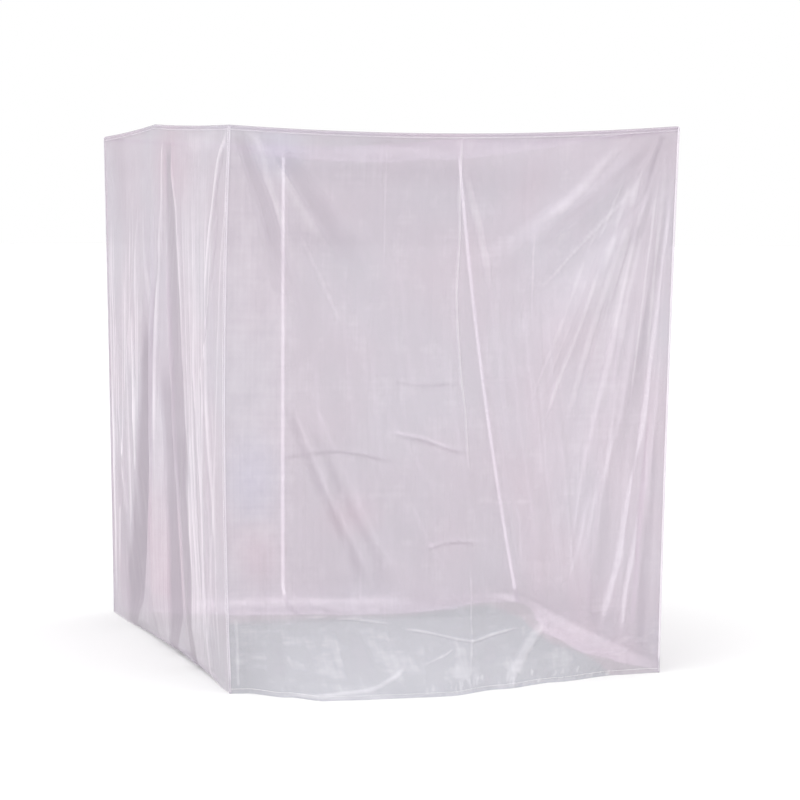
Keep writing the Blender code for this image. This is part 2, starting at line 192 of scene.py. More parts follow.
RIGHT_WALL = Wall(
    "right_wall", "front_right", "back_right", (1, 0), sag=0.022, knee=0.07, columns=380, rows=210,
    foot=((0.0, 0.0), (0.08, 0.0), (0.3, -0.07), (0.55, -0.13), (0.8, -0.12), (1.05, -0.13), (1.35, -0.07),
        (1.6, -0.02), (1.72, 0.0), (1.9, 0.0)),
    folds=(
        Fold(0.14, 1.2, 0.27, 0.0, 0.12, 0.18, -0.022, -0.02),
        Fold(0.12, 1.62, 0.44, 0.0, 0.14, 0.2, 0.024, -0.08),
        Fold(0.16, 1.66, 0.64, 0.0, 0.14, 0.22, 0.026, -0.08),
        Fold(0.22, 1.66, 0.81, 0.0, 0.16, 0.22, -0.026, -0.05),
        Fold(0.28, 1.68, 1.0, 0.0, 0.18, 0.26, 0.026, -0.02),
        Fold(0.36, 1.7, 1.3, 0.4, 0.22, 0.36, -0.018, 0.02),
        Fold(1.55, 1.7, 1.48, 0.0, 0.18, 0.28, 0.018),
        Fold(1.75, 1.66, 1.68, 0.0, 0.16, 0.22, -0.012),
    ),
    creases=(
        Crease(((0.02, 1.68), (0.05, 1.58), (0.07, 1.45), (0.14, 1.24), (0.2, 1.05), (0.24, 0.87),
            (0.28, 0.74), (0.39, 0.61), (0.45, 0.49), (0.51, 0.36), (0.58, 0.24), (0.65, 0.14),
            (0.72, 0.03)), 0.036, 0.004, 1.0, tuck=0.002, edge=0.8, ends=(0.12, 0.92)),
        Crease(((0.17, 0.96), (0.18, 0.83), (0.21, 0.7), (0.25, 0.6), (0.3, 0.48), (0.34, 0.39),
            (0.41, 0.25), (0.45, 0.15), (0.48, 0.04)), 0.034, 0.004, 0.85, tuck=0.001, edge=0.8,
            ends=(0.15, 0.92)),
        Crease(((0.16, 1.56), (0.19, 1.45), (0.23, 1.36), (0.27, 1.23), (0.32, 1.1), (0.36, 0.98),
            (0.4, 0.85), (0.47, 0.72), (0.56, 0.6), (0.7, 0.54), (0.83, 0.49), (0.91, 0.37), (1.0, 0.25),
            (1.21, 0.14), (1.3, 0.08)), 0.034, 0.004, 0.55, edge=0.8, ends=(0.1, 0.45)),
        Crease(((0.09, 0.91), (0.09, 0.74), (0.11, 0.57), (0.14, 0.41), (0.17, 0.26), (0.18, 0.15),
            (0.2, 0.02)), 0.063, -0.006, -0.8, to_width=0.09, edge=0.7, ends=(0.2, 0.9)),
        Crease(((0.06, 1.61), (0.12, 1.44), (0.2, 1.24), (0.3, 1.03), (0.38, 0.82), (0.45, 0.66),
            (0.5, 0.57)), 0.076, -0.006, -0.7, to_width=0.06, edge=0.7),
        Crease(((0.48, 0.64), (0.54, 0.49), (0.61, 0.34), (0.71, 0.19), (0.8, 0.06)), 0.06, -0.006, -0.6,
            to_width=0.14, edge=0.7, ends=(0.2, 0.9)),
        Crease(((1.21, 0.57), (1.31, 0.42), (1.42, 0.25), (1.53, 0.09)), 0.2, -0.004, -0.4, edge=0.7),
        Crease(((0.82, 0.52), (0.88, 0.42), (0.95, 0.31), (1.05, 0.22), (1.18, 0.1)), 0.034, 0.003, 0.4),
        Crease(((0.46, 0.78), (0.53, 0.67), (0.76, 0.54), (0.83, 0.43), (0.92, 0.31), (1.02, 0.15)), 0.034,
            0.003, 0.34),
        Crease(((1.66, 0.45), (1.68, 0.3), (1.72, 0.1)), 0.05, 0.005, 0.55),
        Crease(((1.84, 0.56), (1.82, 0.36), (1.8, 0.12)), 0.034, 0.003, 0.6, ends=(0.2, 0.8)),
        Crease(((-0.3, 0.09), (0.8, 0.085), (1.9, 0.08)), 0.11, 0.0, -0.16, edge=0.6),
        Crease(((-0.3, 0.043), (0.8, 0.041), (2.2, 0.038)), 0.022, 0.0, -0.5, ends=(0.05, 0.95)),
        Crease(((-0.5, -0.005), (0.6, -0.005), (1.4, -0.005), (2.4, -0.005)), 0.078, 0.0, 0.3, edge=0.25),
        Crease(((0.95, 2.3), (0.95, 0.9), (0.95, -0.5)), 2.6, 0.0, 0.36),
        Crease(((2.3, 1.64), (1.4, 1.64), (0.6, 1.68)), 0.2, 0.0, -0.4, ends=(0.25, 0.6)),
    ),
    pleats=(
        Pleats(0.02, 0.1, 1.78, 0.1, 1.2, 0.1, 26, 0.034, 0.003, 0.4, 13),
        Pleats(1.0, 1.86, 1.3, 0.95, 1.8, 0.03, 24, 0.036, 0.003, 0.36, 14),
    ),
    rumple=Rumple(streak=0.0006, wave=0.003, crumple=0.0003, facet=0.02, seed=22),
)
LEFT_WALL = Wall(
    "left_wall", "front_left", "back_left", (-1, 0), sag=0.004, tie=0.55, rise=0.026, knee=0.05, columns=380,
    rows=200,
    foot=((0.0, 0.0), (0.12, 0.0), (0.4, -0.04), (0.95, -0.06), (1.3, -0.04), (1.6, 0.0), (1.9, 0.0)),
    folds=(
        Fold(0.1, 1.72, 0.27, 0.0, 0.12, 0.2, 0.016, 0.03),
        Fold(0.88, 1.74, 0.46, 0.0, 0.14, 0.28, 0.018, 0.02),
        Fold(0.95, 1.79, 0.76, 0.0, 0.12, 0.32, -0.03, 0.02),
        Fold(1.04, 1.79, 1.06, 0.0, 0.12, 0.34, 0.024),
        Fold(1.13, 1.78, 1.52, 0.0, 0.12, 0.36, -0.032, -0.08),
        Fold(1.22, 1.74, 1.72, 0.0, 0.14, 0.24, 0.014, 0.05),
    ),
    creases=(
        Crease(((0.0, 1.73), (0.0, 1.61), (0.04, 1.45), (0.06, 1.31), (0.08, 1.12), (0.1, 0.9), (0.14, 0.65),
            (0.18, 0.48), (0.2, 0.33), (0.22, 0.23), (0.26, 0.07), (0.3, -0.05)), 0.034, 0.002, 0.26,
            ends=(0.1, 0.95)),
        Crease(((0.01, 1.79), (0.06, 1.75), (0.12, 1.7), (0.16, 1.61), (0.2, 1.52), (0.23, 1.43),
            (0.26, 1.29), (0.28, 1.21)), 0.044, 0.003, 0.5, to_width=0.034, edge=0.8, ends=(0.1, 0.75)),
        Crease(((0.1, 1.43), (0.12, 1.37), (0.16, 1.25), (0.24, 1.11), (0.31, 1.01), (0.37, 0.91)), 0.043,
            0.005, 0.22),
        Crease(((0.04, 1.76), (0.07, 1.7), (0.13, 1.61), (0.15, 1.53), (0.18, 1.43)), 0.05, -0.005, -0.55),
        Crease(((0.07, 1.6), (0.1, 1.54), (0.12, 1.44), (0.15, 1.3), (0.19, 1.17), (0.24, 1.04)), 0.034,
            -0.004, -0.5),
        Crease(((0.86, 1.78), (0.84, 1.71), (0.82, 1.57), (0.77, 1.43), (0.71, 1.23), (0.68, 1.06),
            (0.64, 0.86), (0.59, 0.7), (0.57, 0.56)), 0.12, -0.006, -0.9, to_width=0.16, edge=0.5,
            ends=(0.06, 0.85)),
        Crease(((0.94, 1.06), (0.93, 0.98), (0.92, 0.88), (0.9, 0.77), (0.88, 0.58), (0.86, 0.4),
            (0.85, 0.19), (0.84, -0.05)), 0.1, -0.004, -0.9, to_width=0.15, edge=0.5, ends=(0.15, 0.95)),
        Crease(((0.61, 0.8), (0.6, 0.73), (0.58, 0.56), (0.54, 0.4), (0.52, 0.27), (0.52, 0.15),
            (0.51, -0.05)), 0.08, -0.004, -0.9, to_width=0.12, edge=0.5, ends=(0.15, 0.95)),
        Crease(((0.92, 1.78), (0.94, 1.67), (0.97, 1.44), (0.98, 1.26)), 0.038, 0.004, 0.45, ends=(0.1, 0.7)),
        Crease(((0.8, 1.77), (0.77, 1.64), (0.69, 1.49), (0.63, 1.23), (0.6, 0.97), (0.55, 0.8)), 0.04,
            0.004, 0.35, ends=(0.1, 0.7)),
        Crease(((1.23, 1.21), (1.26, 1.07), (1.29, 0.92), (1.32, 0.78), (1.35, 0.67), (1.4, 0.53),
            (1.46, 0.35), (1.52, 0.19), (1.54, 0.07), (1.55, -0.05)), 0.08, -0.006, -1.0, to_width=0.24,
            edge=0.5, ends=(0.15, 0.95)),
        Crease(((0.98, 1.43), (1.0, 1.28), (1.02, 1.13), (1.03, 0.98)), 0.024, -0.004, -0.6),
        Crease(((0.97, 1.05), (0.97, 0.8), (0.97, 0.57), (0.98, 0.3), (0.99, -0.05)), 0.1, 0.0, 0.15,
            to_width=0.2, edge=0.4, ends=(0.2, 0.95)),
        Crease(((1.83, 1.57), (1.83, 1.33), (1.85, 1.04), (1.84, 0.78), (1.84, 0.49), (1.85, 0.21)), 0.049,
            0.004, 0.35),
        Crease(((1.73, 1.2), (1.74, 0.9), (1.7, 0.68), (1.58, 0.51), (1.59, 0.31)), 0.05, 0.004, 0.3),
        Crease(((1.4, 1.21), (1.42, 1.02), (1.44, 0.81), (1.44, 0.66)), 0.034, 0.004, 0.35),
        Crease(((1.76, 0.67), (1.74, 0.52), (1.64, 0.38), (1.62, 0.23), (1.69, 0.08)), 0.16, -0.004, -0.6,
            edge=0.7),
        Crease(((1.68, 1.86), (1.65, 1.68), (1.64, 1.55), (1.64, 1.38)), 0.31, 0.0, -0.4, edge=0.7,
            ends=(0.05, 0.6)),
        Crease(((0.47, 1.24), (0.42, 0.98), (0.36, 0.75), (0.31, 0.53), (0.28, 0.3), (0.27, 0.1)), 0.042,
            0.004, 0.16, ends=(0.2, 0.9)),
        Crease(((0.5, 0.87), (0.48, 0.67), (0.45, 0.48), (0.42, 0.24), (0.41, 0.11)), 0.042, 0.004, 0.16,
            ends=(0.2, 0.9)),
        Crease(((0.12, 1.77), (0.4, 1.76), (0.66, 1.77)), 0.1, 0.0, 0.15),
        Crease(((0.46, 1.85), (0.43, 1.57), (0.38, 0.9), (0.36, 0.37), (0.36, -0.1)), 0.5, 0.0, 0.17,
            to_width=0.34, edge=0.5, ends=(0.2, 0.95)),
    ),
    pleats=(
        Pleats(0.18, 0.76, 1.6, 0.12, 0.5, 0.02, 46, 0.03, 0.001, 0.19, 15),
        Pleats(0.96, 1.3, 1.66, 1.0, 1.22, 0.4, 14, 0.03, 0.0015, 0.3, 16),
        Pleats(1.3, 1.86, 1.56, 1.46, 1.87, 0.05, 34, 0.034, 0.0014, 0.36, 17),
    ),
    rumple=Rumple(streak=0.001, wave=0.002, crumple=0.0012, facet=0.06, seed=23),
)
BACK_NARROW = Wall(
    "back_wall_narrow", "back_left", "back_seam", (0, 1), sag=0.006, knee=0.1, columns=140, rows=200,
    foot=((0.0, 0.0), (0.1, 0.0), (0.3, -0.14), (0.5, -0.23), (0.7, -0.26)),
    folds=(
        Fold(0.22, 1.7, 0.24, 0.0, 0.1, 0.2, -0.014),
        Fold(0.42, 1.65, 0.46, 0.0, 0.12, 0.2, 0.012),
    ),
    creases=(
        Crease(((0.18, 0.026), (1.1, 0.022)), 0.052, 0.002, 0.5),
        Crease(((-0.8, -0.022), (0.4, -0.022), (1.6, -0.022)), 0.076, 0.0, 0.42, edge=0.5),
        Crease(((-0.4, 1.7), (0.4, 1.69), (1.2, 1.68)), 0.12, 0.0, -0.24),
        Crease(((-3.0, 0.32), (0.4, 0.34), (3.0, 0.36)), 0.56, 0.0, -0.1, edge=0.6),
        Crease(((0.42, 0.606), (0.522, 0.603), (0.69, 0.599)), 0.022, 0.003, 0.26),
    ),
    pleats=(
        Pleats(0.06, 0.62, 1.6, 0.08, 0.62, 0.12, 9, 0.024, 0.002, 0.26, 18),
    ),
    rumple=Rumple(streak=0.0005, wave=0.004, crumple=0.001, facet=0.08, seed=24),
)
BACK_WIDE = Wall(
    "back_wall_wide", "back_seam", "back_right", (0, 1), sag=0.016, knee=0.1, columns=240, rows=400,
    foot=((0.0, -0.26), (0.2, -0.29), (0.42, -0.27), (0.62, -0.2), (0.8, -0.04), (0.85, 0.0), (1.0, 0.0)),
    folds=(
        Fold(0.05, 1.15, 0.34, 0.0, 0.1, 0.18, -0.024, -0.04),
        Fold(0.07, 1.2, 0.5, 0.0, 0.12, 0.2, 0.026, -0.07),
        Fold(0.62, 1.7, 0.7, 0.0, 0.14, 0.24, -0.016, -0.03),
    ),
    creases=(
        Crease(((0.0, 0.82), (0.019, 0.76), (0.045, 0.675), (0.085, 0.565), (0.116, 0.467), (0.151, 0.362),
            (0.197, 0.253), (0.227, 0.143), (0.243, 0.04)), 0.04, -0.003, -0.6, to_width=0.056, edge=0.8,
            ends=(0.15, 0.85)),
        Crease(((0.03, 0.8), (0.045, 0.76), (0.069, 0.674), (0.11, 0.557), (0.146, 0.448), (0.189, 0.331),
            (0.225, 0.233), (0.258, 0.128), (0.277, 0.036)), 0.022, 0.003, 0.5, to_width=0.026,
            ends=(0.1, 0.8)),
        Crease(((0.078, 0.741), (0.115, 0.644), (0.161, 0.519), (0.2, 0.41), (0.243, 0.3), (0.285, 0.19),
            (0.314, 0.057)), 0.04, -0.003, -0.5, to_width=0.056, edge=0.8, ends=(0.2, 0.8)),
        Crease(((0.102, 0.799), (0.162, 0.642), (0.207, 0.523), (0.253, 0.386), (0.299, 0.25),
            (0.348, 0.132), (0.357, 0.038)), 0.02, 0.003, 0.42, to_width=0.026, ends=(0.1, 0.8)),
        Crease(((0.4, 0.43), (0.423, 0.371), (0.449, 0.285), (0.471, 0.214), (0.504, 0.136), (0.53, 0.088)),
            0.022, 0.004, 0.5),
        Crease(((0.3, 0.86), (0.36, 0.74), (0.43, 0.6), (0.5, 0.45), (0.56, 0.33)), 0.03, 0.004, 0.3),
        Crease(((-0.05, 0.58), (0.0, 0.575), (0.075, 0.585), (0.157, 0.597), (0.262, 0.58), (0.341, 0.56),
            (0.4, 0.56)), 0.018, -0.003, -1.1, ends=(0.1, 0.8)),
        Crease(((0.36, 0.66), (0.405, 0.648), (0.475, 0.632), (0.545, 0.6), (0.586, 0.588), (0.64, 0.58)),
            0.018, -0.003, -1.1, ends=(0.2, 0.8)),
        Crease(((0.36, 0.676), (0.406, 0.664), (0.476, 0.648), (0.547, 0.616), (0.587, 0.604)), 0.016, 0.003,
            0.8, ends=(0.2, 0.8)),
        Crease(((0.44, 0.22), (0.466, 0.226), (0.512, 0.244), (0.554, 0.248), (0.621, 0.243),
            (0.672, 0.254)), 0.016, 0.003, 0.7, ends=(0.15, 0.8)),
        Crease(((0.44, 0.204), (0.465, 0.21), (0.511, 0.229), (0.552, 0.232), (0.62, 0.227)), 0.016, -0.003,
            -1.0, ends=(0.15, 0.8)),
        Crease(((0.36, 0.862), (0.412, 0.859), (0.482, 0.847), (0.586, 0.85), (0.656, 0.845)), 0.018, -0.002,
            -0.9, ends=(0.2, 0.8)),
        Crease(((-0.25, 0.024), (0.2, 0.022), (0.46, 0.022)), 0.052, 0.002, 0.52),
        Crease(((-0.8, -0.022), (0.4, -0.022), (1.6, -0.022)), 0.076, 0.0, 0.42, edge=0.5),
        Crease(((0.59, 0.04), (0.64, 0.03), (0.69, 0.014), (0.74, -0.01)), 0.034, 0.0, 0.5, ends=(0.6, 0.95)),
        Crease(((-0.4, 1.7), (0.4, 1.68), (1.3, 1.69)), 0.16, 0.0, -0.36),
        Crease(((-3.0, 0.36), (0.4, 0.34), (3.0, 0.34)), 0.62, 0.0, -0.18, edge=0.6),
        Crease(((-0.02, 1.42), (0.16, 1.4), (0.36, 1.36)), 0.14, 0.0, -0.26, edge=0.6, ends=(0.25, 0.75)),
        Crease(((0.45, 0.022), (1.2, 0.022)), 0.04, 0.002, 0.34),
    ),
    pleats=(
        Pleats(0.1, 0.75, 1.6, 0.16, 0.8, 0.1, 14, 0.024, 0.002, 0.3, 19),
    ),
    rumple=Rumple(streak=0.0005, wave=0.005, crumple=0.001, facet=0.08, seed=25),
)
WALLS = (FRONT_WALL, RIGHT_WALL, LEFT_WALL, BACK_NARROW, BACK_WIDE)

# A soft oval patch on a wall where its net looks rosier, or with a minus more lilac.
Patch = namedtuple("Patch", "along height wide high rose")
PATCHES = {
    "front_wall": (
        Patch(0.16, 1.74, 0.28, 0.28, -0.55), Patch(0.09, 0.68, 0.28, 0.44, -0.55),
        Patch(0.11, 0.44, 0.24, 0.28, 0.6), Patch(0.42, 0.56, 0.32, 0.22, 0.6),
    ),
    "right_wall": (
        Patch(1.25, 0.90, 1.10, 1.20, 0.9), Patch(1.45, 0.40, 1.00, 0.80, 1.0),
        Patch(1.20, 1.62, 0.80, 0.50, 0.5), Patch(0.20, 1.60, 0.70, 0.70, 0.6),
        Patch(0.60, 0.02, 2.40, 0.14, 0.3),
    ),
    "left_wall": (
        Patch(0.80, 1.70, 0.90, 0.44, 0.8), Patch(0.95, 0.33, 1.40, 0.70, 0.8),
        Patch(1.70, 0.15, 0.60, 0.60, 0.6),
    ),
}
# Painted shade: points (along, height) of the line under which a wall's net is drawn in a cooler grey, as if
# in shade by the floor, and how strongly.
PAINTED_FLOOR_SHADE = {
    "front_wall": (
        ((0.00, 0.242), (0.60, 0.242), (0.80, 0.268), (0.90, 0.268), (1.02, 0.222), (1.06, 0.176),
         (1.12, 0.135), (1.21, 0.108), (1.30, 0.058), (1.38, -0.030)),
        1.0,
    ),
    "left_wall": (((0.00, 0.200), (1.90, 0.200)), 0.2),
}
PAINTED_SHADE_EASE = 0.03  # height over which that painted grey shade comes in

# A felled seam down the upright where two walls meet: each wall with the share along it where the
# upright stands, which face the seam lies on, 1 outside and -1 inside, its width as a share of the
# usual one, and how dense it is, which also draws it lighter, partly with painted highlight.
Seam = namedtuple("Seam", "wall share other other_share face width gather")
SEAMS = (
    Seam(LEFT_WALL, 0, FRONT_WALL, 0, 1, 0.6, 0.26),
    Seam(FRONT_WALL, 1, RIGHT_WALL, 0, 1, 0.6, 0.55),
    Seam(RIGHT_WALL, 1, BACK_WIDE, 1, -1, 0.7, 0.95),
    Seam(BACK_WIDE, 0, BACK_NARROW, 1, -1, 0.5, 1.20),
    Seam(BACK_NARROW, 0, LEFT_WALL, 1, 1, 0.6, 0.40),
)
SEAM_COLUMNS, SEAM_ROWS = 8, 240
SEAM_STANDOFF = 0.0025  # the seam's lap over the net under it
SEAM_UNDER_RIM = 0.002  # the top of a seam under the rim of its walls
SEAM_HOLLOW = 0.10  # how much less dense a seam is down its middle than at its edges
SEAM_FADE = 0.06  # height under which a seam lies loose and no longer shows as a line

# The roof's lobes, with height read as the distance back from the front edge.
ROOF_FOLDS = (
    Fold(0.34, 0.15, 0.34, 1.75, 0.24, 0.24, 0.012, 0.04),
    Fold(0.98, 0.15, 1.02, 1.75, 0.30, 0.30, 0.010, -0.03),
)
ROOF_GRID = 180  # faces along each side of the roof
ROOF_RISE = 0.0019  # the roof over the walls' top rims
ROOF_WAVE = 0.002  # height of its soft waves
ROOF_PAINTED_SHADE = -0.20  # painted shade: the roof's net is darkened as if its underside lay in shade
ROOF_STRAIN, ROOF_LINE = 0.12, 0.36  # how strongly its strained threads and its broad lines show
ROOF_RIM = 0.10  # its waves come in over this distance from its edges
LOBE_START, LOBE_FULL = 0.02, 0.20  # and its lobes between these distances from its sides

BINDING_COLUMNS, BINDING_ROWS = 900, 12
BINDING_STANDOFF = 0.0015  # the binding over the net on both sides of it
BINDING_RISE = 0.0010  # and over the top rim
BINDING_FOLD = 0.3  # share of its drop over which it bends round the rim
BINDING_GATHER = 0.15  # its density
BINDING_EDGE, EDGE_START, EDGE_FULL = 0.16, 0.70, 0.95  # how much denser its edges are, by share of the drop
BINDING_HOLLOW_SHADE, HOLLOW_AT, HOLLOW_WIDE = 0.30, 0.45, 0.35  # and how much painted shade darkens it between its edges
HEM_GATHER = 0.08  # how much denser the doubled hem is
HEM_EDGE = 0.8  # share of the hem's depth over which it is full

# Smooth noise at one scale: lumps a metre along and down a sheet, its strength, and how far its
# lumps lean, as what the other direction adds to each count.
Grain = namedtuple("Grain", "along down strength along_by_down down_by_along", defaults=(0, 0))
STREAKS = (Grain(55, 2.2, 1.0), Grain(110, 4, 0.6))
WAVES = (Grain(5, 4, 1.0), Grain(11, 9, 0.5))
CRUSHED = (Grain(11, 40, 1.0), Grain(23, 80, 0.6))
PAINTED_FACETS = (Grain(7, 21, 1.0, 13, -5), Grain(19, 60, 0.7, -40, 13))
CRUSHED_MIDDLE = 0.4  # what the painted light and shade of crushed net takes off, so that it is as often darker as lighter
ROOF_WAVES = (Grain(9, 5, 1.0), Grain(21, 11, 0.5))
ROOF_STRAINS = (Grain(8, 26, 1.0, 3),)
ROOF_LINES = (Grain(2.5, 9, 1.0), Grain(5, 19, 0.7))
BINDING_WANDER = (Grain(90, 2, 0.0008),)
BINDING_MOTTLE = (Grain(60, 3, 0.3),)
ROOF_SEED, BINDING_SEED = 31, 41

LIGHT_PLEATS = 0.6  # share of a fan's pleats that are ridges drawn lighter, partly with painted highlight
DARK_PLEAT = -0.8  # a dark pleat's strength beside a light one's: a trough darkened with painted shade
SHORT_PLEAT = 0.35  # a pleat that would be a shorter share of its fan than this
PLEAT_STRETCH = 0.25  # is made longer at both ends by this share
PLEAT_STRAY = 0.35  # how far a pleat strays from its place, as a share of their distance
PLEAT_BEND = 0.01  # how far it bends aside
PLEAT_WIDTHS, PLEAT_DEPTHS, PLEAT_GATHERS = (0.6, 1.4), (0.4, 1.3), (0.4, 1.4)  # beside the fan's usual

# How a piece's net looks: how strong its drawn threads are down and across it and its crinkles, its
# rose cast, how strong the painted glow of its gathers is, an emission that stands in for light passed
# on from behind, and how much more it covers than usual.
Finish = namedtuple("Finish", "down across crinkle rose glow body", defaults=(0.0, 0.0))
FINISHES = {
    "front_wall": Finish(0.10, 0.07, 0.34, 0.20, glow=0.05, body=-0.06),
    "right_wall": Finish(0.24, 0.08, 0.36, 0.35, glow=0.10, body=0.08),
    "left_wall": Finish(0.28, 0.04, 0.24, 0.20, body=0.04),
    "back_wall_narrow": Finish(0.14, 0.12, 0.36, 0.16, glow=0.16, body=0.05),
    "back_wall_wide": Finish(0.14, 0.16, 0.42, 0.20, glow=0.16, body=0.05),
    "roof": Finish(0.10, 0.20, 0.20, 0.10),
    "seam": Finish(0.15, 0.05, 0.30, 0.10, glow=0.20),
    "binding": Finish(0.20, 0.00, 0.00, 0.20),
}
# Each kind of streak in the net: the input with its strength, its lumps a metre and its fineness.
STREAK_KINDS = (
    ("Down", (90.0, 1.6, 1.0), 3.0),
    ("Across", (2.2, 70.0, 1.0), 2.0),
    ("Crinkle", (13.0, 10.0, 1.0), 5.0),
)
THREAD_SHARPNESS = 3.0  # how narrow the drawn threads are beside their gaps
THREAD_COVER, GAP_LOSS = 0.10, 0.05  # how much more a thread covers, and how much less all the net
THREAD_RELIEF = 0.3  # the weave's share of the relief
NET_RELIEF = {"Strength": 0.35, "Distance": 0.002}
ROSE_NOISE = {"Scale": 2.4, "Detail": 1.5}
ROSE_FROM, ROSE_TO = 0.35, 0.65  # values of that noise where the rose cast starts and is full
NET_GLOSS = {"Roughness": 0.6, "Specular IOR Level": 0.25, "Sheen Weight": 0.15, "Sheen Roughness": 0.4}
THREAD_ROUGHNESS = 0.7

STITCH_STANDOFF = 0.0004  # a stitch's middle over its cloth
STITCH_SEED = 5
STITCH_SIZES = (0.85, 1.15)  # the shortest and longest stitch beside the usual one
STITCH_SIDES = 5  # faces round a stitch
SEAM_STITCHES = (0.22, 0.78)  # places across a seam of its two rows
HEM_STITCHES = 0.85  # place of the hem's row, as a share of its depth
BINDING_STITCHES = 0.09  # and of the binding's, across it
SEAM_ROW, HEM_ROW, BINDING_ROW = (0.004, 0.995, 260), (0.005, 0.995, 420), (0.0, 1.0, 1600)  # from, to, points

# The flat cut of each sheet, across and down, before it was sewn and hung.
FLAT_CUTS = {
    "front_wall": (1.50, 1.95),
    "right_wall": (1.90, 1.92),
    "left_wall": (1.90, 1.92),
    "back_wall_narrow": (0.68, 1.95),
    "back_wall_wide": (0.80, 1.95),
    "roof": (1.50, 1.90),
}

HORIZON_SHARE = 0.66  # the sky's brightness at the horizon, as a share of overhead
FLOOR_RADIUS, FLOOR_SIDES = 90.0, 96
# Each soft light: its azimuth, 0 from the front and 90 from the left, its elevation and its spread
# in degrees, and the setting that holds its strength.
SUNS = {"side_light": (60, 45, 50, "key"), "overhead_light": (0, 80, 60, "overhead")}
CAMERA_AT = Vector((-2.990, -9.730, 1.5745))
CAMERA_YAW = math.radians(17.3)  # to the right of +Y
CAMERA_PITCH = math.radians(3.96)  # down
CAMERA_ROLL = math.radians(0.25)
CAMERA_REACH = 500.0
SENSOR = 36.0
PICTURE_SIDE = 800  # pixels
FOCAL_PIXELS = 2897.0

VALUE, VECTOR, GEOMETRY = "NodeSocketFloat", "NodeSocketVector", "NodeSocketGeometry"


def length_setting(name, description, default, low, high):
    """A size in metres that a user can change."""
    return bpy.props.FloatProperty(
        name=name, description=description, default=default, min=low, max=high, unit="LENGTH"
    )


def share_setting(name, description, default, low=0.05, high=1.0):
    """A share that a user can change."""
    return bpy.props.FloatProperty(
        name=name, description=description, default=default, min=low, max=high, subtype="FACTOR"
    )


def light_setting(name, description, default, high):
    """A strength of light that a user can change."""
    return bpy.props.FloatProperty(name=name, description=description, default=default, min=0.0, max=high)


def colour_setting(name, description, default):
    """A colour that a user can change."""
    return bpy.props.FloatVectorProperty(
        name=name, description=description, default=default, min=0.0, max=1.0, subtype="COLOR"
    )


class CanopySizes(bpy.types.PropertyGroup):
    """Sizes of the sewing and the hang that can change without leaving the frame."""

    roof_sag: length_setting("Roof sag", "The roof's middle under its tied edges", 0.078, 0.0, 0.2)
    seam_width: length_setting("Seam width", "Width of the felled seam down each corner", 0.012, 0.004, 0.03)
    binding_drop: length_setting("Binding drop", "Height of the binding round the top", 0.014, 0.005, 0.03)
    hem_depth: length_setting("Hem depth", "Depth of the doubled hem", 0.016, 0.004, 0.05)
    weave_pitch: length_setting("Weave pitch", "Distance between the net's threads", 0.0022, 0.001, 0.01)
    stitch_spacing: length_setting("Stitch spacing", "From one stitch to the next", 0.007, 0.003, 0.02)
    stitch_length: length_setting("Stitch length", "Length of a stitch", 0.0045, 0.001, 0.02)
    thread_radius: length_setting("Thread radius", "Radius of the sewing thread", 0.0004, 0.0002, 0.002)
    crease_share: share_setting("Creases", "Depth of the creases beside the usual", 1.0, 0.0, 2.0)


class CanopyLooks(bpy.types.PropertyGroup):
    """Colours and sheerness of the net, with its painted highlight, painted shade and painted grey shade near
    the floor.
    """

    net_colour: colour_setting("Net", "Colour of one layer of net", (0.622, 0.573, 0.650))
    # Painted shade: the net low down by the floor is drawn in this cooler grey.
    painted_low_shade_colour: colour_setting("Net by the floor", "Colour in the floor's cooler light", (0.545, 0.550, 0.615))
    rose_colour: colour_setting("Rose cast", "Colour that the net leans to in places", (0.660, 0.520, 0.605))
    lilac_colour: colour_setting("Lilac cast", "Colour of the net's few lilac patches", (0.560, 0.530, 0.710))
    # Painted highlight: bunched threads are drawn in this near-white colour, partly for their real density and
    # partly as painted highlight.
    gathered_highlight_colour: colour_setting("Gathered net", "Colour where threads bunch up", (0.97, 0.92, 0.97))
    # Painted shade: dark creases, troughs and folds are drawn in this colour.
    painted_shade_colour: colour_setting("Fold shade", "Colour deep in a fold", (0.40, 0.35, 0.405))
    thread_colour: colour_setting("Thread", "Colour of the sewing thread", (0.85, 0.83, 0.86))
    opacity: share_setting("Opacity", "How much one flat layer of net covers", 0.45)
    shade_opacity: share_setting("Fold opacity", "How much net covers deep in a fold", 0.70)
    gathered_opacity: share_setting("Gathered opacity", "How much a fully gathered fold covers", 0.88)


class CanopyStage(bpy.types.PropertyGroup):
    """The plain floor, the backdrop, the net's painted shadow on them and the light."""

    floor_colour: colour_setting("Floor", "Colour of the floor", (0.68, 0.68, 0.68))
    backdrop: light_setting("Backdrop", "Brightness of the backdrop that the camera sees", 1.0, 2.0)
    # Painted shadow: the tone of the floor and backdrop where the camera sees them through one layer of net,
    # and through two or more.
    painted_shadow_tone_one: share_setting("Behind one layer", "Tone of what one layer of net has behind it", 0.68, 0.0)
    painted_shadow_tone_two: share_setting("Behind two layers", "Tone behind two layers or more", 0.60, 0.0)
    sky: light_setting("Sky", "Strength of the soft light from all round", 1.17, 5.0)
    key: light_setting("Side light", "Strength of the soft light from the left", 0.8, 20.0)
    overhead: light_setting("Overhead light", "Strength of the broad light overhead", 1.5, 20.0)


def eased(value, low, high):
    """0 below low and 1 above high, with a smooth step between them."""
    t = np.clip((value - low) / (high - low), 0.0, 1.0)
    return t * t * (3.0 - 2.0 * t)


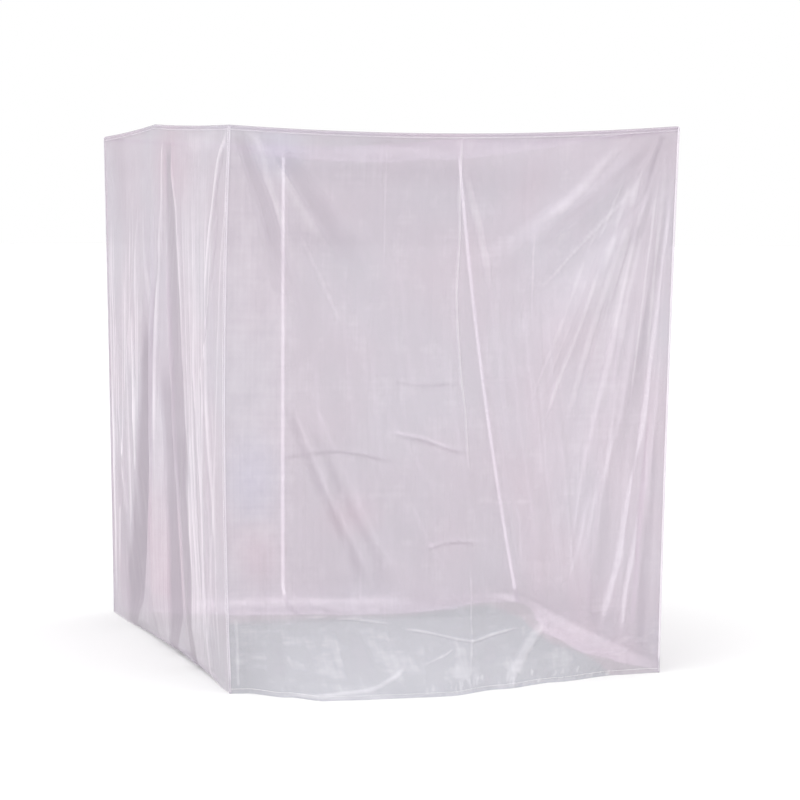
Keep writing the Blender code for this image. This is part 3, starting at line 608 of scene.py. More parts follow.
def smooth_noise(x, y, seed):
    """Smooth noise from -1 to 1 with one bump or hollow to each unit square."""
    side = 64
    values = np.random.default_rng(seed).uniform(-1.0, 1.0, (side, side))
    left, low = np.floor(x).astype(int), np.floor(y).astype(int)
    across, up = eased(x - left, 0.0, 1.0), eased(y - low, 0.0, 1.0)
    left, low, right, high = left % side, low % side, (left + 1) % side, (low + 1) % side
    bottom = values[low, left] * (1 - across) + values[low, right] * across
    top = values[high, left] * (1 - across) + values[high, right] * across
    return bottom * (1 - up) + top * up


def crushed_noise(x, y, seed):
    """Noise with sharp crests, like cloth that has been crushed, from 0 to 1."""
    return (1.0 - np.abs(smooth_noise(x, y, seed))) ** 3


def layered(noise, grains, along, down, seed):
    """The sum of a noise at several scales, each with a seed of its own."""
    total = 0.0
    for index, grain in enumerate(grains):
        x = along * grain.along + down * grain.along_by_down
        y = down * grain.down + along * grain.down_by_along
        total = total + grain.strength * noise(x, y, seed + index)
    return total


def upright_points(name, share):
    """Points of an upright, with share running from 0 at the floor to 1 at its top."""
    row = UPRIGHTS[name]
    top, middle, foot = share * (2 * share - 1), 4 * share * (1 - share), (1 - share) * (1 - 2 * share)
    x = row.x * WIDTH / 2 + row.top_x * top + row.middle_x * middle + row.foot_x * foot
    y = row.y * LENGTH / 2 + row.top_y * top + row.middle_y * middle + row.foot_y * foot
    return np.stack([x, y, share * (HEIGHT + row.top_z)], axis=-1)


def edge_drop(wall, share):
    """How far the top edge hangs under the straight line between its uprights."""
    if wall.rise == 0.0:
        return wall.sag * 4 * share * (1 - share)
    span = np.where(share < wall.tie, share / wall.tie, (1 - share) / (1 - wall.tie))
    return wall.sag * 4 * span * (1 - span) - wall.rise * span


def hung_points(wall, across, up=None):
    """Points of the plain wall between its uprights, with its sagging top edge and no folds."""
    up = np.ones(across.shape) if up is None else up
    first, last = upright_points(wall.first, up), upright_points(wall.last, up)
    points = first + (last - first) * across[..., None]
    points[..., 2] -= edge_drop(wall, across) * up
    return points


def top_line(wall):
    """(direction, length) of the straight line between the wall's top corners."""
    start, end = hung_points(wall, np.array((0.0, 1.0)))
    length = float(np.linalg.norm(end - start))
    return (end - start) / length, length


def wall_length(wall):
    """The wall's width along its top edge."""
    return top_line(wall)[1]


def foot_out(wall, across):
    """How far the hem lies out at this share of the wall's width, eased from station to station."""
    along = across * wall.foot[-1][0]
    out = np.full(along.shape, wall.foot[-1][1])
    for (near, near_out), (far, far_out) in reversed(list(zip(wall.foot, wall.foot[1:]))):
        out = np.where(along <= far, near_out + (far_out - near_out) * eased(along, near, far), out)
    return out


def from_ends(along, reach, ease):
    """0 at both ends of a reach and 1 from this far inside them."""
    return eased(along, 0.0, ease) * eased(reach - along, 0.0, ease)


def fold_depth(folds, along, height, reach):
    """How far the folds push the net out at each point. They die out at both ends of the reach."""
    total = np.zeros(along.shape)
    for fold in folds:
        run = (height - fold.height) / (fold.to_height - fold.height)
        middle = fold.along + (fold.to_along - fold.along) * run + fold.bow * 4 * run * (1 - run)
        width = fold.width + (fold.to_width - fold.width) * run
        aside = np.clip(np.abs(along - middle) / np.maximum(width / 2, 1e-6), 0.0, 1.0)
        fade = eased(run, 0.0, FOLD_GROWN)
        if fold.to_height > 0.0:
            fade = fade * (1.0 - eased(run, FOLD_FADES, 1.0))
        bulge = fold.depth * fade * (1 + np.cos(math.pi * aside)) / 2
        total += np.where((run > 0.0) & (run < 1.0), bulge, 0.0)
    return total * eased(height, 0.0, HEM_CALM) * from_ends(along, reach, CORNER_EASE)


def fan(pleats):
    """The creases of a fan of pleats, each a little unlike the next."""
    chance = np.random.default_rng(pleats.seed)
    creases = []
    for index in range(pleats.count):
        share = (index + chance.uniform(-PLEAT_STRAY, PLEAT_STRAY)) / max(pleats.count - 1, 1)
        along = pleats.first + (pleats.last - pleats.first) * share
        to_along = pleats.to_first + (pleats.to_last - pleats.to_first) * share
        start, stop = sorted(chance.uniform(0.0, 1.0, 2))
        if stop - start < SHORT_PLEAT:
            start, stop = max(start - PLEAT_STRETCH, 0.0), min(stop + PLEAT_STRETCH, 1.0)
        bend = chance.uniform(-PLEAT_BEND, PLEAT_BEND)
        side = 1.0 if chance.random() < LIGHT_PLEATS else DARK_PLEAT
        route = [
            (along + (to_along - along) * at + aside, pleats.height + (pleats.to_height - pleats.height) * at)
            for at, aside in ((start, 0.0), ((start + stop) / 2, bend), (stop, 0.0))
        ]
        creases.append(Crease(
            route, pleats.width * chance.uniform(*PLEAT_WIDTHS),
            pleats.depth * chance.uniform(*PLEAT_DEPTHS) * side,
            pleats.gather * chance.uniform(*PLEAT_GATHERS) * side,
        ))
    return creases


def smooth_route(route):
    """A curve through a route's points, as short straight steps."""
    steps = 5
    knots = np.array(route, float)
    before, after = 2 * knots[:1] - knots[1:2], 2 * knots[-1:] - knots[-2:-1]
    knots = np.concatenate([before, knots, after])
    t = (np.arange(steps) / steps)[:, None]
    spans = [
        b + (c - a) * t / 2 + (2 * a - 5 * b + 4 * c - d) * t ** 2 / 2 + (3 * b - a - 3 * c + d) * t ** 3 / 2
        for a, b, c, d in zip(knots, knots[1:], knots[2:], knots[3:])
    ]
    return np.concatenate(spans + [knots[-2:-1]])


def beside_route(points, along, height):
    """(share of the way, distance aside) of each place from a route of points."""
    steps = np.diff(points, axis=0)
    lengths = np.hypot(steps[:, 0], steps[:, 1])
    way = np.concatenate([[0.0], np.cumsum(lengths)])
    share, aside = np.zeros(along.shape), np.full(along.shape, 1e3)
    for point, step, length, start in zip(points, steps, lengths, way):
        off_along, off_up = along - point[0], height - point[1]
        run = np.clip((off_along * step[0] + off_up * step[1]) / length ** 2, 0.0, 1.0)
        side = np.sign(off_along * step[1] - off_up * step[0])
        distance = np.hypot(off_along - run * step[0], off_up - run * step[1])
        nearer = distance < np.abs(aside)
        share = np.where(nearer, (start + run * length) / way[-1], share)
        aside = np.where(nearer, distance * side, aside)
    return share, aside


def crease_fields(creases, along, height, reach):
    """(push out, shift along, gather) of the creases at each point."""
    push, shift, gather = (np.zeros(along.shape) for _ in range(3))
    for crease in creases:
        route = smooth_route(crease.route)
        to_width = crease.to_width or crease.width
        margin = max(crease.width, to_width) / 2
        low, high = route.min(axis=0) - margin, route.max(axis=0) + margin
        near = (along > low[0]) & (along < high[0]) & (height > low[1]) & (height < high[1])
        share, aside = beside_route(route, along[near], height[near])
        aside = aside / (crease.width + (to_width - crease.width) * share) * 2
        fade = eased(share, 0.0, crease.ends[0]) * (1.0 - eased(share, crease.ends[1], 1.0))
        crest = eased(1.0 - np.abs(aside), 0.0, crease.edge)
        push[near] += crease.depth * fade * crest
        shift[near] -= crease.tuck * fade * np.sin(math.pi * np.clip(aside, -1.0, 1.0))
        gather[near] += crease.gather * fade * crest
    ends = from_ends(along, reach, CREASE_EASE)
    return push * ends, shift * ends, gather


def row_depths(share):
    """Spreads a wall's rows so that its foot has a good third of them."""
    foot = KNEE_SHARE + (share - KNEE_ROWS) / (1 - KNEE_ROWS) * (1 - KNEE_SHARE)
    return np.where(share < KNEE_ROWS, share / KNEE_ROWS * KNEE_SHARE, foot)


def past_knee(down):
    """0 down to a wall's knee and then up to 1 at its hem."""
    return np.clip((down - KNEE_SHARE) / (1 - KNEE_SHARE), 0.0, 1.0)


def hung_height(wall, across, down):
    """Height of the sheet, straight down to its knee and then turned towards the floor, and of its top."""
    top, t = hung_points(wall, across)[..., 2], past_knee(down)
    plain = top + (wall.knee - top) * down / KNEE_SHARE
    turned = (1 - t) ** 2 * wall.knee + 2 * t * (1 - t) * wall.turn_up
    return np.where(down <= KNEE_SHARE, plain, turned), top


def wall_surface(sizes, wall, across, down):
    """(points, gather) of a finished wall. Down is 0 at the top edge and 1 at the hem."""
    run, reach = top_line(wall)
    along = across * reach
    height, top = hung_height(wall, across, down)
    t, foot = past_knee(down), foot_out(wall, across)
    points = hung_points(wall, across, height / top)
    points[..., 2] = height
    out = (2 * t * (1 - t) * wall.turn_out + t * t) * foot + fold_depth(wall.folds, along, height, reach)
    creases = list(wall.creases) + [crease for pleats in wall.pleats for crease in fan(pleats)]
    push, shift, gather = crease_fields(creases, along, height, reach)
    rumple, seed = wall.rumple, wall.rumple.seed
    ends = from_ends(along, reach, CORNER_EASE)
    loose = eased(down, 0.0, RIM_CALM) * ends * (1.0 - FOOT_CALM * eased(down, KNEE_SHARE, STREAKS_END))
    streaks = layered(smooth_noise, STREAKS, along, height, seed)
    waves = layered(smooth_noise, WAVES, along, height, seed + 2)
    push = push * sizes.crease_share + (rumple.streak * streaks + rumple.wave * waves) * loose
    near_floor = eased(down, KNEE_SHARE - CRUMPLE_MARGIN, CRUMPLES_FULL) * ends
    crushed = layered(crushed_noise, CRUSHED, along, down, seed + 4)
    crumple = rumple.crumple * crushed * near_floor
    to_hem = (1.0 - t) * np.hypot(wall.knee, foot)
    hem = 1.0 - eased(to_hem, sizes.hem_depth * HEM_EDGE, sizes.hem_depth)
    gather = gather + HEM_GATHER * hem * (t > 0)
    # Painted light and shade: the facets of crushed cloth near the floor are drawn lighter and darker.
    painted_facets = layered(smooth_noise, PAINTED_FACETS, along, down, seed + 6)
    gather = gather + rumple.facet * (painted_facets + crushed - CRUSHED_MIDDLE) * near_floor
    lying = 1.0 - eased(height, 0.0, LYING_HEIGHT)
    outward = np.array((*wall.out, 0.0))
    points = points + outward * (out + push * (1 - LYING_LOSS * lying) + crumple * (1 - lying))[..., None]
    points = points + run * shift[..., None]
    points[..., 2] += crumple * lying + np.abs(push) * LYING_LIFT * lying
    points[..., 2] = np.maximum(points[..., 2], FLOOR_GAP)
    return points - MIDDLE_OF_PLAN, gather


def patch_tint(wall, across, down):
    """How far a wall's net leans to rose, or with a minus to lilac, at each point."""
    along = across * wall_length(wall)
    height, _ = hung_height(wall, across, down)
    total = np.zeros(across.shape)
    for patch in PATCHES.get(wall.node, ()):
        aside = np.hypot((along - patch.along) / patch.wide, (height - patch.height) / patch.high) * 2
        total += patch.rose * (1.0 - eased(aside, 0.0, 1.0))
    return total


def painted_floor_shade(wall, across, down):
    """How far a wall's net is painted in the cooler grey shade near the floor, at each point."""
    if wall.node not in PAINTED_FLOOR_SHADE:
        return np.zeros(across.shape)
    line, strength = PAINTED_FLOOR_SHADE[wall.node]
    height, _ = hung_height(wall, across, down)
    top = np.interp(across * wall_length(wall), *zip(*line))
    return strength * (1.0 - eased(height, top - PAINTED_SHADE_EASE, top))


def down_at(wall, across, height):
    """How far down a wall's sheet these heights are, at one place along it."""
    steps = np.linspace(0.0, 1.0, 300)
    heights, _ = hung_height(wall, np.full(steps.shape, float(np.mean(across))), steps)
    return np.interp(-height, -heights, steps)


def away(wall, other, distance):
    """A step of this size out from two walls that meet, or from one."""
    out = np.array((wall.out[0] + other.out[0], wall.out[1] + other.out[1], 0.0))
    return np.clip(out, -1.0, 1.0) * distance


def seam_surface(sizes, seam, across, down):
    """(points, gather) of a seam that laps both walls of its upright."""
    half = sizes.seam_width * seam.width
    aside = (across - 0.5) * half * 2
    halves = []
    for wall, share in ((seam.wall, seam.share), (seam.other, seam.other_share)):
        inward = 1 - 2 * share
        place = share + inward * np.abs(aside) / wall_length(wall)
        top = hung_points(wall, place)[..., 2]
        height = top * (1.0 - down) - SEAM_UNDER_RIM * (1.0 - down)
        halves.append(wall_surface(sizes, wall, place, down_at(wall, place, height))[0])
    points = np.where((aside < 0)[..., None], *halves) + away(seam.wall, seam.other, seam.face * SEAM_STANDOFF)
    gather = seam.gather - SEAM_HOLLOW * np.cos(math.pi * np.clip(np.abs(aside) / half, 0.0, 1.0))
    return points, gather * eased(points[..., 2], SEAM_FADE / 2, SEAM_FADE)


def top_loop(count):
    """Points all round the top edge, with the side that faces out at each of them."""
    sides = ((FRONT_WALL, 0, 1), (RIGHT_WALL, 0, 1), (BACK_WIDE, 1, 0), (BACK_NARROW, 1, 0), (LEFT_WALL, 1, 0))
    total = sum(wall_length(wall) for wall, _, _ in sides)
    points = []
    for wall, first, last in sides:
        steps = max(int(count * wall_length(wall) / total), 2)
        points.append(hung_points(wall, np.linspace(first, last, steps, endpoint=False)))
    points = np.concatenate(points)
    run = np.roll(points, -1, axis=0) - np.roll(points, 1, axis=0)
    out = np.stack([run[:, 1], -run[:, 0], np.zeros(len(run))], axis=-1)
    return points, out / np.linalg.norm(out, axis=1)[:, None]


def binding_surface(sizes, across, down):
    """(points, gather) of the strip folded over the top edge, from its outer edge to its inner one."""
    loop, out = top_loop(BINDING_COLUMNS)
    place = (across * len(loop)) % len(loop)
    near, share = np.floor(place).astype(int), (place - np.floor(place))[..., None]
    far = (near + 1) % len(loop)
    near %= len(loop)
    edge, side = (points[near] + (points[far] - points[near]) * share for points in (loop, out))
    lap = np.clip(np.abs(down - 0.5) * 2, 0.0, 1.0)  # 0 on the fold and 1 at both edges
    bent = eased(lap, 0.0, BINDING_FOLD)
    wander = layered(smooth_noise, BINDING_WANDER, across, down, BINDING_SEED)
    points = edge + side * (BINDING_STANDOFF * np.sign(0.5 - down) * bent + wander * lap)[..., None]
    points[..., 2] -= sizes.binding_drop * lap - BINDING_RISE * (1.0 - bent)
    # Painted shade in the hollow down the middle of the folded binding, between its denser edges.
    hollow_shade = 1.0 - eased(np.abs(lap - HOLLOW_AT), 0.0, HOLLOW_WIDE)
    gather = BINDING_EDGE * eased(lap, EDGE_START, EDGE_FULL) - BINDING_HOLLOW_SHADE * hollow_shade + BINDING_GATHER
    mottle = layered(smooth_noise, BINDING_MOTTLE, across, down, BINDING_SEED + 1)
    return points - MIDDLE_OF_PLAN, gather * (1.0 + mottle)


def back_points(share):
    """Points of the back's plain top edge, over its narrow and its wide length."""
    top = np.ones(1)
    first, seam, last = (upright_points(n, top)[0, 0] for n in ("back_left", "back_seam", "back_right"))
    x = first + (last - first) * share
    narrow = hung_points(BACK_NARROW, np.clip((x - first) / (seam - first), 0, 1))
    wide = hung_points(BACK_WIDE, np.clip((x - seam) / (last - seam), 0, 1))
    return np.where((x < seam)[..., None], narrow, wide)


def roof_surface(sizes, across, back):
    """(points, gather) of the roof, stretched between the walls' top edges and sagging in its middle."""
    top = np.ones(across.shape)
    near, far = hung_points(FRONT_WALL, across), back_points(across)
    west, east = hung_points(LEFT_WALL, back), hung_points(RIGHT_WALL, back)
    corner = [upright_points(n, top) for n in ("front_left", "front_right", "back_left", "back_right")]
    x, y = across[..., None], back[..., None]
    near_chord, far_chord = corner[0] * (1 - x) + corner[1] * x, corner[2] * (1 - x) + corner[3] * x
    points = near * (1 - y) + far * y + west * (1 - x) + east * x - near_chord * (1 - y) - far_chord * y
    dome = 16 * across * (1 - across) * back * (1 - back)
    inset = np.minimum(across, 1 - across) * WIDTH
    lobes = fold_depth(ROOF_FOLDS, across * WIDTH, back * LENGTH, WIDTH) * eased(inset, LOBE_START, LOBE_FULL)
    rim = eased(np.minimum(inset, np.minimum(back, 1 - back) * LENGTH), 0.0, ROOF_RIM)
    waves = layered(smooth_noise, ROOF_WAVES, across, back, ROOF_SEED)
    strain = layered(crushed_noise, ROOF_STRAINS, across, back, ROOF_SEED + 2)
    lines = layered(smooth_noise, ROOF_LINES, across, back, ROOF_SEED + 3)
    points[..., 2] += ROOF_RISE - sizes.roof_sag * dome + lobes + ROOF_WAVE * rim * (waves + strain)
    # The roof starts from its painted shade, with its strained threads and broad lines over it.
    return points - MIDDLE_OF_PLAN, ROOF_PAINTED_SHADE + (ROOF_STRAIN * strain + ROOF_LINE * lines) * rim


def placed(name, data):
    """A new object in the scene."""
    item = bpy.data.objects.new(name, data)
    bpy.context.scene.collection.objects.link(item)
    return item


def sheet_from_grid(name, columns, rows, surface, flat, material, **tints):
    """A sheet of net: a grid whose points come from surface(across, down), with UVs in metres."""
    mesh = bpy.data.meshes.new(name)
    grid = bmesh.new()
    bmesh.ops.create_grid(grid, x_segments=columns, y_segments=rows, size=0.5)
    grid.to_mesh(mesh)
    grid.free()
    plane = np.empty(len(mesh.vertices) * 3, np.float32)
    mesh.vertices.foreach_get("co", plane)
    across, down = plane[0::3].astype(float) + 0.5, 0.5 - plane[1::3].astype(float)
    points, gather = surface(across, down)
    mesh.vertices.foreach_set("co", points.astype(np.float32).ravel())
    values = {"gather": gather, **{label: tint(across, down) for label, tint in tints.items()}}
    for label, value in values.items():
        mesh.attributes.new(label, "FLOAT", "POINT").data.foreach_set("value", value.astype(np.float32))
    corners = np.empty(len(mesh.loops), np.int32)
    mesh.loops.foreach_get("vertex_index", corners)
    metres = np.stack([across * flat[0], (1 - down) * flat[1]], axis=-1)[corners]
    mesh.uv_layers.new(name="cut").data.foreach_set("uv", metres.astype(np.float32).ravel())
    mesh.materials.append(material)
    mesh.shade_smooth()
    mesh.update()
    return placed(name, mesh)


def shared_group(name, draw, inputs, outputs, kind="ShaderNodeTree"):
    """The node group of this name, drawn the first time that it's asked for. Sockets are (name, type)."""
    tree = bpy.data.node_groups.get(name)
    if tree:
        return tree
    tree = bpy.data.node_groups.new(name, kind)
    for way, sockets in (("INPUT", inputs), ("OUTPUT", outputs)):
        for label, socket_kind in sockets:
            tree.interface.new_socket(label, in_out=way, socket_type=socket_kind)
    draw(tree, tree.nodes.new("NodeGroupInput").outputs, tree.nodes.new("NodeGroupOutput").inputs)
    return tree


def filled(node, settings):
    """The node, with these inputs set."""
    for name, value in settings.items():
        node.inputs[name].default_value = value
    return node


def placed_group(tree, group, **settings):
    """A node group placed in a material, with its inputs set."""
    node = tree.nodes.new("ShaderNodeGroup")
    node.node_tree = group
    return filled(node, settings)


def feed(tree, socket, value):
    """Gives an input another node's output or a plain value."""
    if isinstance(value, bpy.types.NodeSocket):
        tree.links.new(value, socket)
    else:
        socket.default_value = value


def math_node(tree, operation, *values):
    """A Math node of sockets or plain numbers."""
    node = tree.nodes.new("ShaderNodeMath")
    node.operation = operation
    for socket, value in zip(node.inputs, values):
        feed(tree, socket, value)
    return node.outputs[0]


def clamped(tree, value):
    """The value held between 0 and 1."""
    return math_node(tree, "MINIMUM", math_node(tree, "MAXIMUM", value, 0.0), 1.0)


def mixed(tree, share, first, second):
    """A colour mix whose share and colours are sockets or plain values."""
    node = tree.nodes.new("ShaderNodeMix")
    node.data_type = "RGBA"
    for index, value in ((0, share), (6, first), (7, second)):
        feed(tree, node.inputs[index], value)
    return node.outputs[2]


def attribute(tree, name):
    """A value that a sheet's points carry."""
    node = tree.nodes.new("ShaderNodeAttribute")
    node.attribute_name = name
    return node.outputs["Fac"]


def draw_weave(tree, given, made):
    """Two crossing sets of threads over the piece's own UV map, which is in metres."""
    split = tree.nodes.new("ShaderNodeSeparateXYZ")
    tree.links.new(given["Vector"], split.inputs[0])
    turns = math_node(tree, "DIVIDE", math.pi, given["Pitch"])
    ribs = []
    for axis in ("X", "Y"):
        wave = math_node(tree, "SINE", math_node(tree, "MULTIPLY", split.outputs[axis], turns))
        ribs.append(math_node(tree, "POWER", math_node(tree, "ABSOLUTE", wave), THREAD_SHARPNESS))
    tree.links.new(math_node(tree, "MAXIMUM", *ribs), made["Threads"])


def draw_streaks(tree, given, made):
    """Fine uneven lines down and across the cloth from drawn threads, and patches from soft crinkles."""
    total = None
    for share, lumps, detail in STREAK_KINDS:
        stretch = filled(tree.nodes.new("ShaderNodeMapping"), {"Scale": lumps})
        noise = filled(tree.nodes.new("ShaderNodeTexNoise"), {"Scale": 1.0, "Detail": detail})
        tree.links.new(given["Vector"], stretch.inputs["Vector"])
        tree.links.new(stretch.outputs["Vector"], noise.inputs["Vector"])
        centred = math_node(tree, "SUBTRACT", noise.outputs["Fac"], 0.5)
        part = math_node(tree, "MULTIPLY", centred, given[share])
        total = part if total is None else math_node(tree, "ADD", total, part)
    tree.links.new(total, made["Streaks"])


def principled_material(name, settings):
    """(material, its tree, its shader), with the shader's inputs set."""
    material = bpy.data.materials.new(name)
    material.use_nodes = True
    shader = filled(material.node_tree.nodes["Principled BSDF"], settings)
    return material, material.node_tree, shader


def net_material(looks, sizes, name):
    """Sheer net, denser and lighter where gathered (partly painted highlight), with painted shade in creases,
    soft rose and lilac casts and a painted grey shade near the floor.
    """
    finish = FINISHES[name]
    material, tree, shader = principled_material(name + "_net", NET_GLOSS)
    uv = tree.nodes.new("ShaderNodeUVMap")
    uv.uv_map = "cut"
    strengths = {"Down": finish.down, "Across": finish.across, "Crinkle": finish.crinkle}
    drawn = []
    for title, draw, settings, output in (
        ("Net weave", draw_weave, {"Pitch": sizes.weave_pitch}, "Threads"),
        ("Thread streaks", draw_streaks, strengths, "Streaks"),
    ):
        inputs = [("Vector", VECTOR)] + [(label, VALUE) for label in settings]
        group = placed_group(tree, shared_group(title, draw, inputs, ((output, VALUE),)), **settings)
        tree.links.new(uv.outputs["UV"], group.inputs["Vector"])
        drawn.append(group.outputs[output])
    threads, streaks = drawn

    place = tree.nodes.new("ShaderNodeTexCoord")
    patches = filled(tree.nodes.new("ShaderNodeTexNoise"), ROSE_NOISE)
    tree.links.new(place.outputs["Object"], patches.inputs["Vector"])
    rose_range = {"From Min": ROSE_FROM, "From Max": ROSE_TO, "To Max": 2 * finish.rose}
    cast = filled(tree.nodes.new("ShaderNodeMapRange"), rose_range)
    tree.links.new(patches.outputs["Fac"], cast.inputs["Value"])
    rose = attribute(tree, "rose")
    # The gather mark with the streaks: above zero bunched threads drawn lighter, partly painted highlight;
    # below zero painted shade.
    gathered = math_node(tree, "ADD", attribute(tree, "gather"), streaks)
    # Light is the lighter side of that mark, partly painted highlight, and deep is its painted shade side.
    light, deep = clamped(tree, gathered), clamped(tree, math_node(tree, "MULTIPLY", gathered, -1.0))
    colour = (*looks.net_colour, 1)
    for share, other in (
        (clamped(tree, math_node(tree, "ADD", cast.outputs["Result"], rose)), looks.rose_colour),
        (clamped(tree, math_node(tree, "MULTIPLY", rose, -1.0)), looks.lilac_colour),
        # the low mark paints the cooler grey shade near the floor
        (attribute(tree, "low"), looks.painted_low_shade_colour),
        (light, looks.gathered_highlight_colour),
        # painted shade in creases and fold troughs
        (deep, looks.painted_shade_colour),
    ):
        colour = mixed(tree, share, colour, (*other, 1))
    tree.links.new(colour, shader.inputs["Base Color"])
    # Painted glow: the gathers emit a little light of their own colour, in place of light shining through them
    # from behind.
    if finish.glow:
        glow = mixed(tree, math_node(tree, "MULTIPLY", light, finish.glow), (0.0, 0.0, 0.0, 1.0), colour)
        tree.links.new(glow, shader.inputs["Emission Color"])
        shader.inputs["Emission Strength"].default_value = 1.0

    base = looks.opacity + finish.body
    cover = math_node(tree, "MULTIPLY", light, looks.gathered_opacity - base)
    cover = math_node(tree, "ADD", cover, math_node(tree, "MULTIPLY", deep, looks.shade_opacity - base))
    cover = math_node(tree, "ADD", cover, base - GAP_LOSS)
    cover = math_node(tree, "ADD", cover, math_node(tree, "MULTIPLY", threads, THREAD_COVER))
    tree.links.new(cover, shader.inputs["Alpha"])
    bump = filled(tree.nodes.new("ShaderNodeBump"), NET_RELIEF)
    relief = math_node(tree, "ADD", streaks, math_node(tree, "MULTIPLY", threads, THREAD_RELIEF))
    tree.links.new(relief, bump.inputs["Height"])
    tree.links.new(bump.outputs["Normal"], shader.inputs["Normal"])
    return material


def stitch_rows(sizes):
    """Lines of stitches, as lists of points: down the seams, along the hems and round the binding."""
    rows = []
    down = np.linspace(*SEAM_ROW)
    for seam in SEAMS:
        for across in SEAM_STITCHES:
            points, _ = seam_surface(sizes, seam, np.full(down.shape, across), down)
            rows.append(points + away(seam.wall, seam.other, seam.face * STITCH_STANDOFF))
    across = np.linspace(*HEM_ROW)
    for wall in WALLS:
        foot = np.hypot(wall.knee, foot_out(wall, across))
        down = 1.0 - sizes.hem_depth * HEM_STITCHES * (1 - KNEE_SHARE) / foot
        points, _ = wall_surface(sizes, wall, across, down)
        points[:, 2] += STITCH_STANDOFF
        rows.append(points + away(wall, wall, STITCH_STANDOFF))
    loop = np.linspace(*BINDING_ROW)
    points, _ = binding_surface(sizes, loop, np.full(loop.shape, BINDING_STITCHES))
    _, out = top_loop(BINDING_COLUMNS)
    rows.append(points + out[(loop * (len(out) - 1)).astype(int)] * STITCH_STANDOFF)
    return rows


def draw_stitches(tree, given, made):
    """Lays a short thread at even steps along every line of a mesh."""
    curve = tree.nodes.new("GeometryNodeMeshToCurve")
    resample = tree.nodes.new("GeometryNodeResampleCurve")
    resample.mode = "LENGTH"
    stitch = filled(tree.nodes.new("GeometryNodeMeshCylinder"), {"Vertices": STITCH_SIDES})
    tangent = tree.nodes.new("GeometryNodeInputTangent")
    turn = tree.nodes.new("FunctionNodeAlignRotationToVector")
    turn.axis = "Z"
    size = tree.nodes.new("FunctionNodeRandomValue")
    size.inputs[2].default_value, size.inputs[3].default_value = STITCH_SIZES
    place = tree.nodes.new("GeometryNodeInstanceOnPoints")
    plain = tree.nodes.new("GeometryNodeRealizeInstances")
    paint = tree.nodes.new("GeometryNodeSetMaterial")
    for source, target in (
        (given["Geometry"], curve.inputs[0]),
        (curve.outputs[0], resample.inputs["Curve"]),
        (given["Spacing"], resample.inputs["Length"]),
        (given["Radius"], stitch.inputs["Radius"]),
        (given["Length"], stitch.inputs["Depth"]),
        (tangent.outputs[0], turn.inputs["Vector"]),
        (given["Seed"], size.inputs["Seed"]),
        (resample.outputs[0], place.inputs["Points"]),
        (stitch.outputs["Mesh"], place.inputs["Instance"]),
        (turn.outputs[0], place.inputs["Rotation"]),
        (size.outputs[1], place.inputs["Scale"]),
        (place.outputs[0], plain.inputs[0]),
        (plain.outputs[0], paint.inputs["Geometry"]),
        (given["Thread"], paint.inputs["Material"]),
        (paint.outputs[0], made["Geometry"]),
    ):
        tree.links.new(source, target)


def stitches_from_rows(name, rows, settings):
    """A plain mesh of stitches along rows of points, made by the stitch nodes."""
    mesh = bpy.data.meshes.new(name)
    points = np.concatenate(rows)
    ends = np.cumsum([len(row) for row in rows])
    edges = [(i, i + 1) for i in range(len(points) - 1) if i + 1 not in ends]
    mesh.from_pydata(points.tolist(), edges, [])
    lines = placed(name + "_lines", mesh)
    inputs = (
        ("Geometry", GEOMETRY), ("Spacing", VALUE), ("Length", VALUE), ("Radius", VALUE),
        ("Seed", "NodeSocketInt"), ("Thread", "NodeSocketMaterial"),
    )
    tree = shared_group("Stitch rows", draw_stitches, inputs, (("Geometry", GEOMETRY),), "GeometryNodeTree")
    modifier = lines.modifiers.new("stitches", "NODES")
    modifier.node_group = tree
    for item in tree.interface.items_tree:
        if item.item_type == "SOCKET" and item.in_out == "INPUT" and item.name in settings:
            modifier[item.identifier] = settings[item.name]
    solved = lines.evaluated_get(bpy.context.evaluated_depsgraph_get())
    plain = bpy.data.meshes.new_from_object(solved)
    plain.name = name
    bpy.data.objects.remove(lines)
    return placed(name, plain)


def settle(piece, node):
    """Makes a finished piece ride on the root body in place of its solid."""
    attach(piece, "root")
    if node:
        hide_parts(node)


class CANOPY_OT_add_seams(bpy.types.Operator):
    """Lay the felled seams down the corners and the back"""

    bl_idname = "canopy.add_seams"
    bl_label = "Add Seams"

    def execute(self, context):
        sizes, looks = context.scene.canopy_sizes, context.scene.canopy_looks
        material = net_material(looks, sizes, "seam")
        for seam in SEAMS:
            piece = sheet_from_grid(
                f"seam_{seam.wall.node}_{seam.other.node}", SEAM_COLUMNS, SEAM_ROWS,
                lambda across, down, seam=seam: seam_surface(sizes, seam, across, down),
                (sizes.seam_width * 2, HEIGHT), material,
            )
            settle(piece, None)
        return {"FINISHED"}


class CANOPY_OT_add_binding(bpy.types.Operator):
    """Fold the binding over the top edge"""

    bl_idname = "canopy.add_binding"
    bl_label = "Add Binding"

    def execute(self, context):
        sizes, looks = context.scene.canopy_sizes, context.scene.canopy_looks
        piece = sheet_from_grid(
            "net_binding", BINDING_COLUMNS, BINDING_ROWS,
            lambda across, down: binding_surface(sizes, across, down),
            (2 * (WIDTH + LENGTH), sizes.binding_drop * 2), net_material(looks, sizes, "binding"),
        )
        settle(piece, "top_binding")
        return {"FINISHED"}


class CANOPY_OT_add_stitches(bpy.types.Operator):
    """Sew the rows of stitches along the seams, hems and binding"""

    bl_idname = "canopy.add_stitches"
    bl_label = "Add Stitches"

    def execute(self, context):
        sizes, looks = context.scene.canopy_sizes, context.scene.canopy_looks
        colour = {"Base Color": (*looks.thread_colour, 1), "Roughness": THREAD_ROUGHNESS}
        piece = stitches_from_rows("stitches", stitch_rows(sizes), {
            "Spacing": sizes.stitch_spacing, "Length": sizes.stitch_length, "Radius": sizes.thread_radius,
            "Seed": STITCH_SEED, "Thread": principled_material("sewing_thread", colour)[0],
        })
        settle(piece, None)
        return {"FINISHED"}


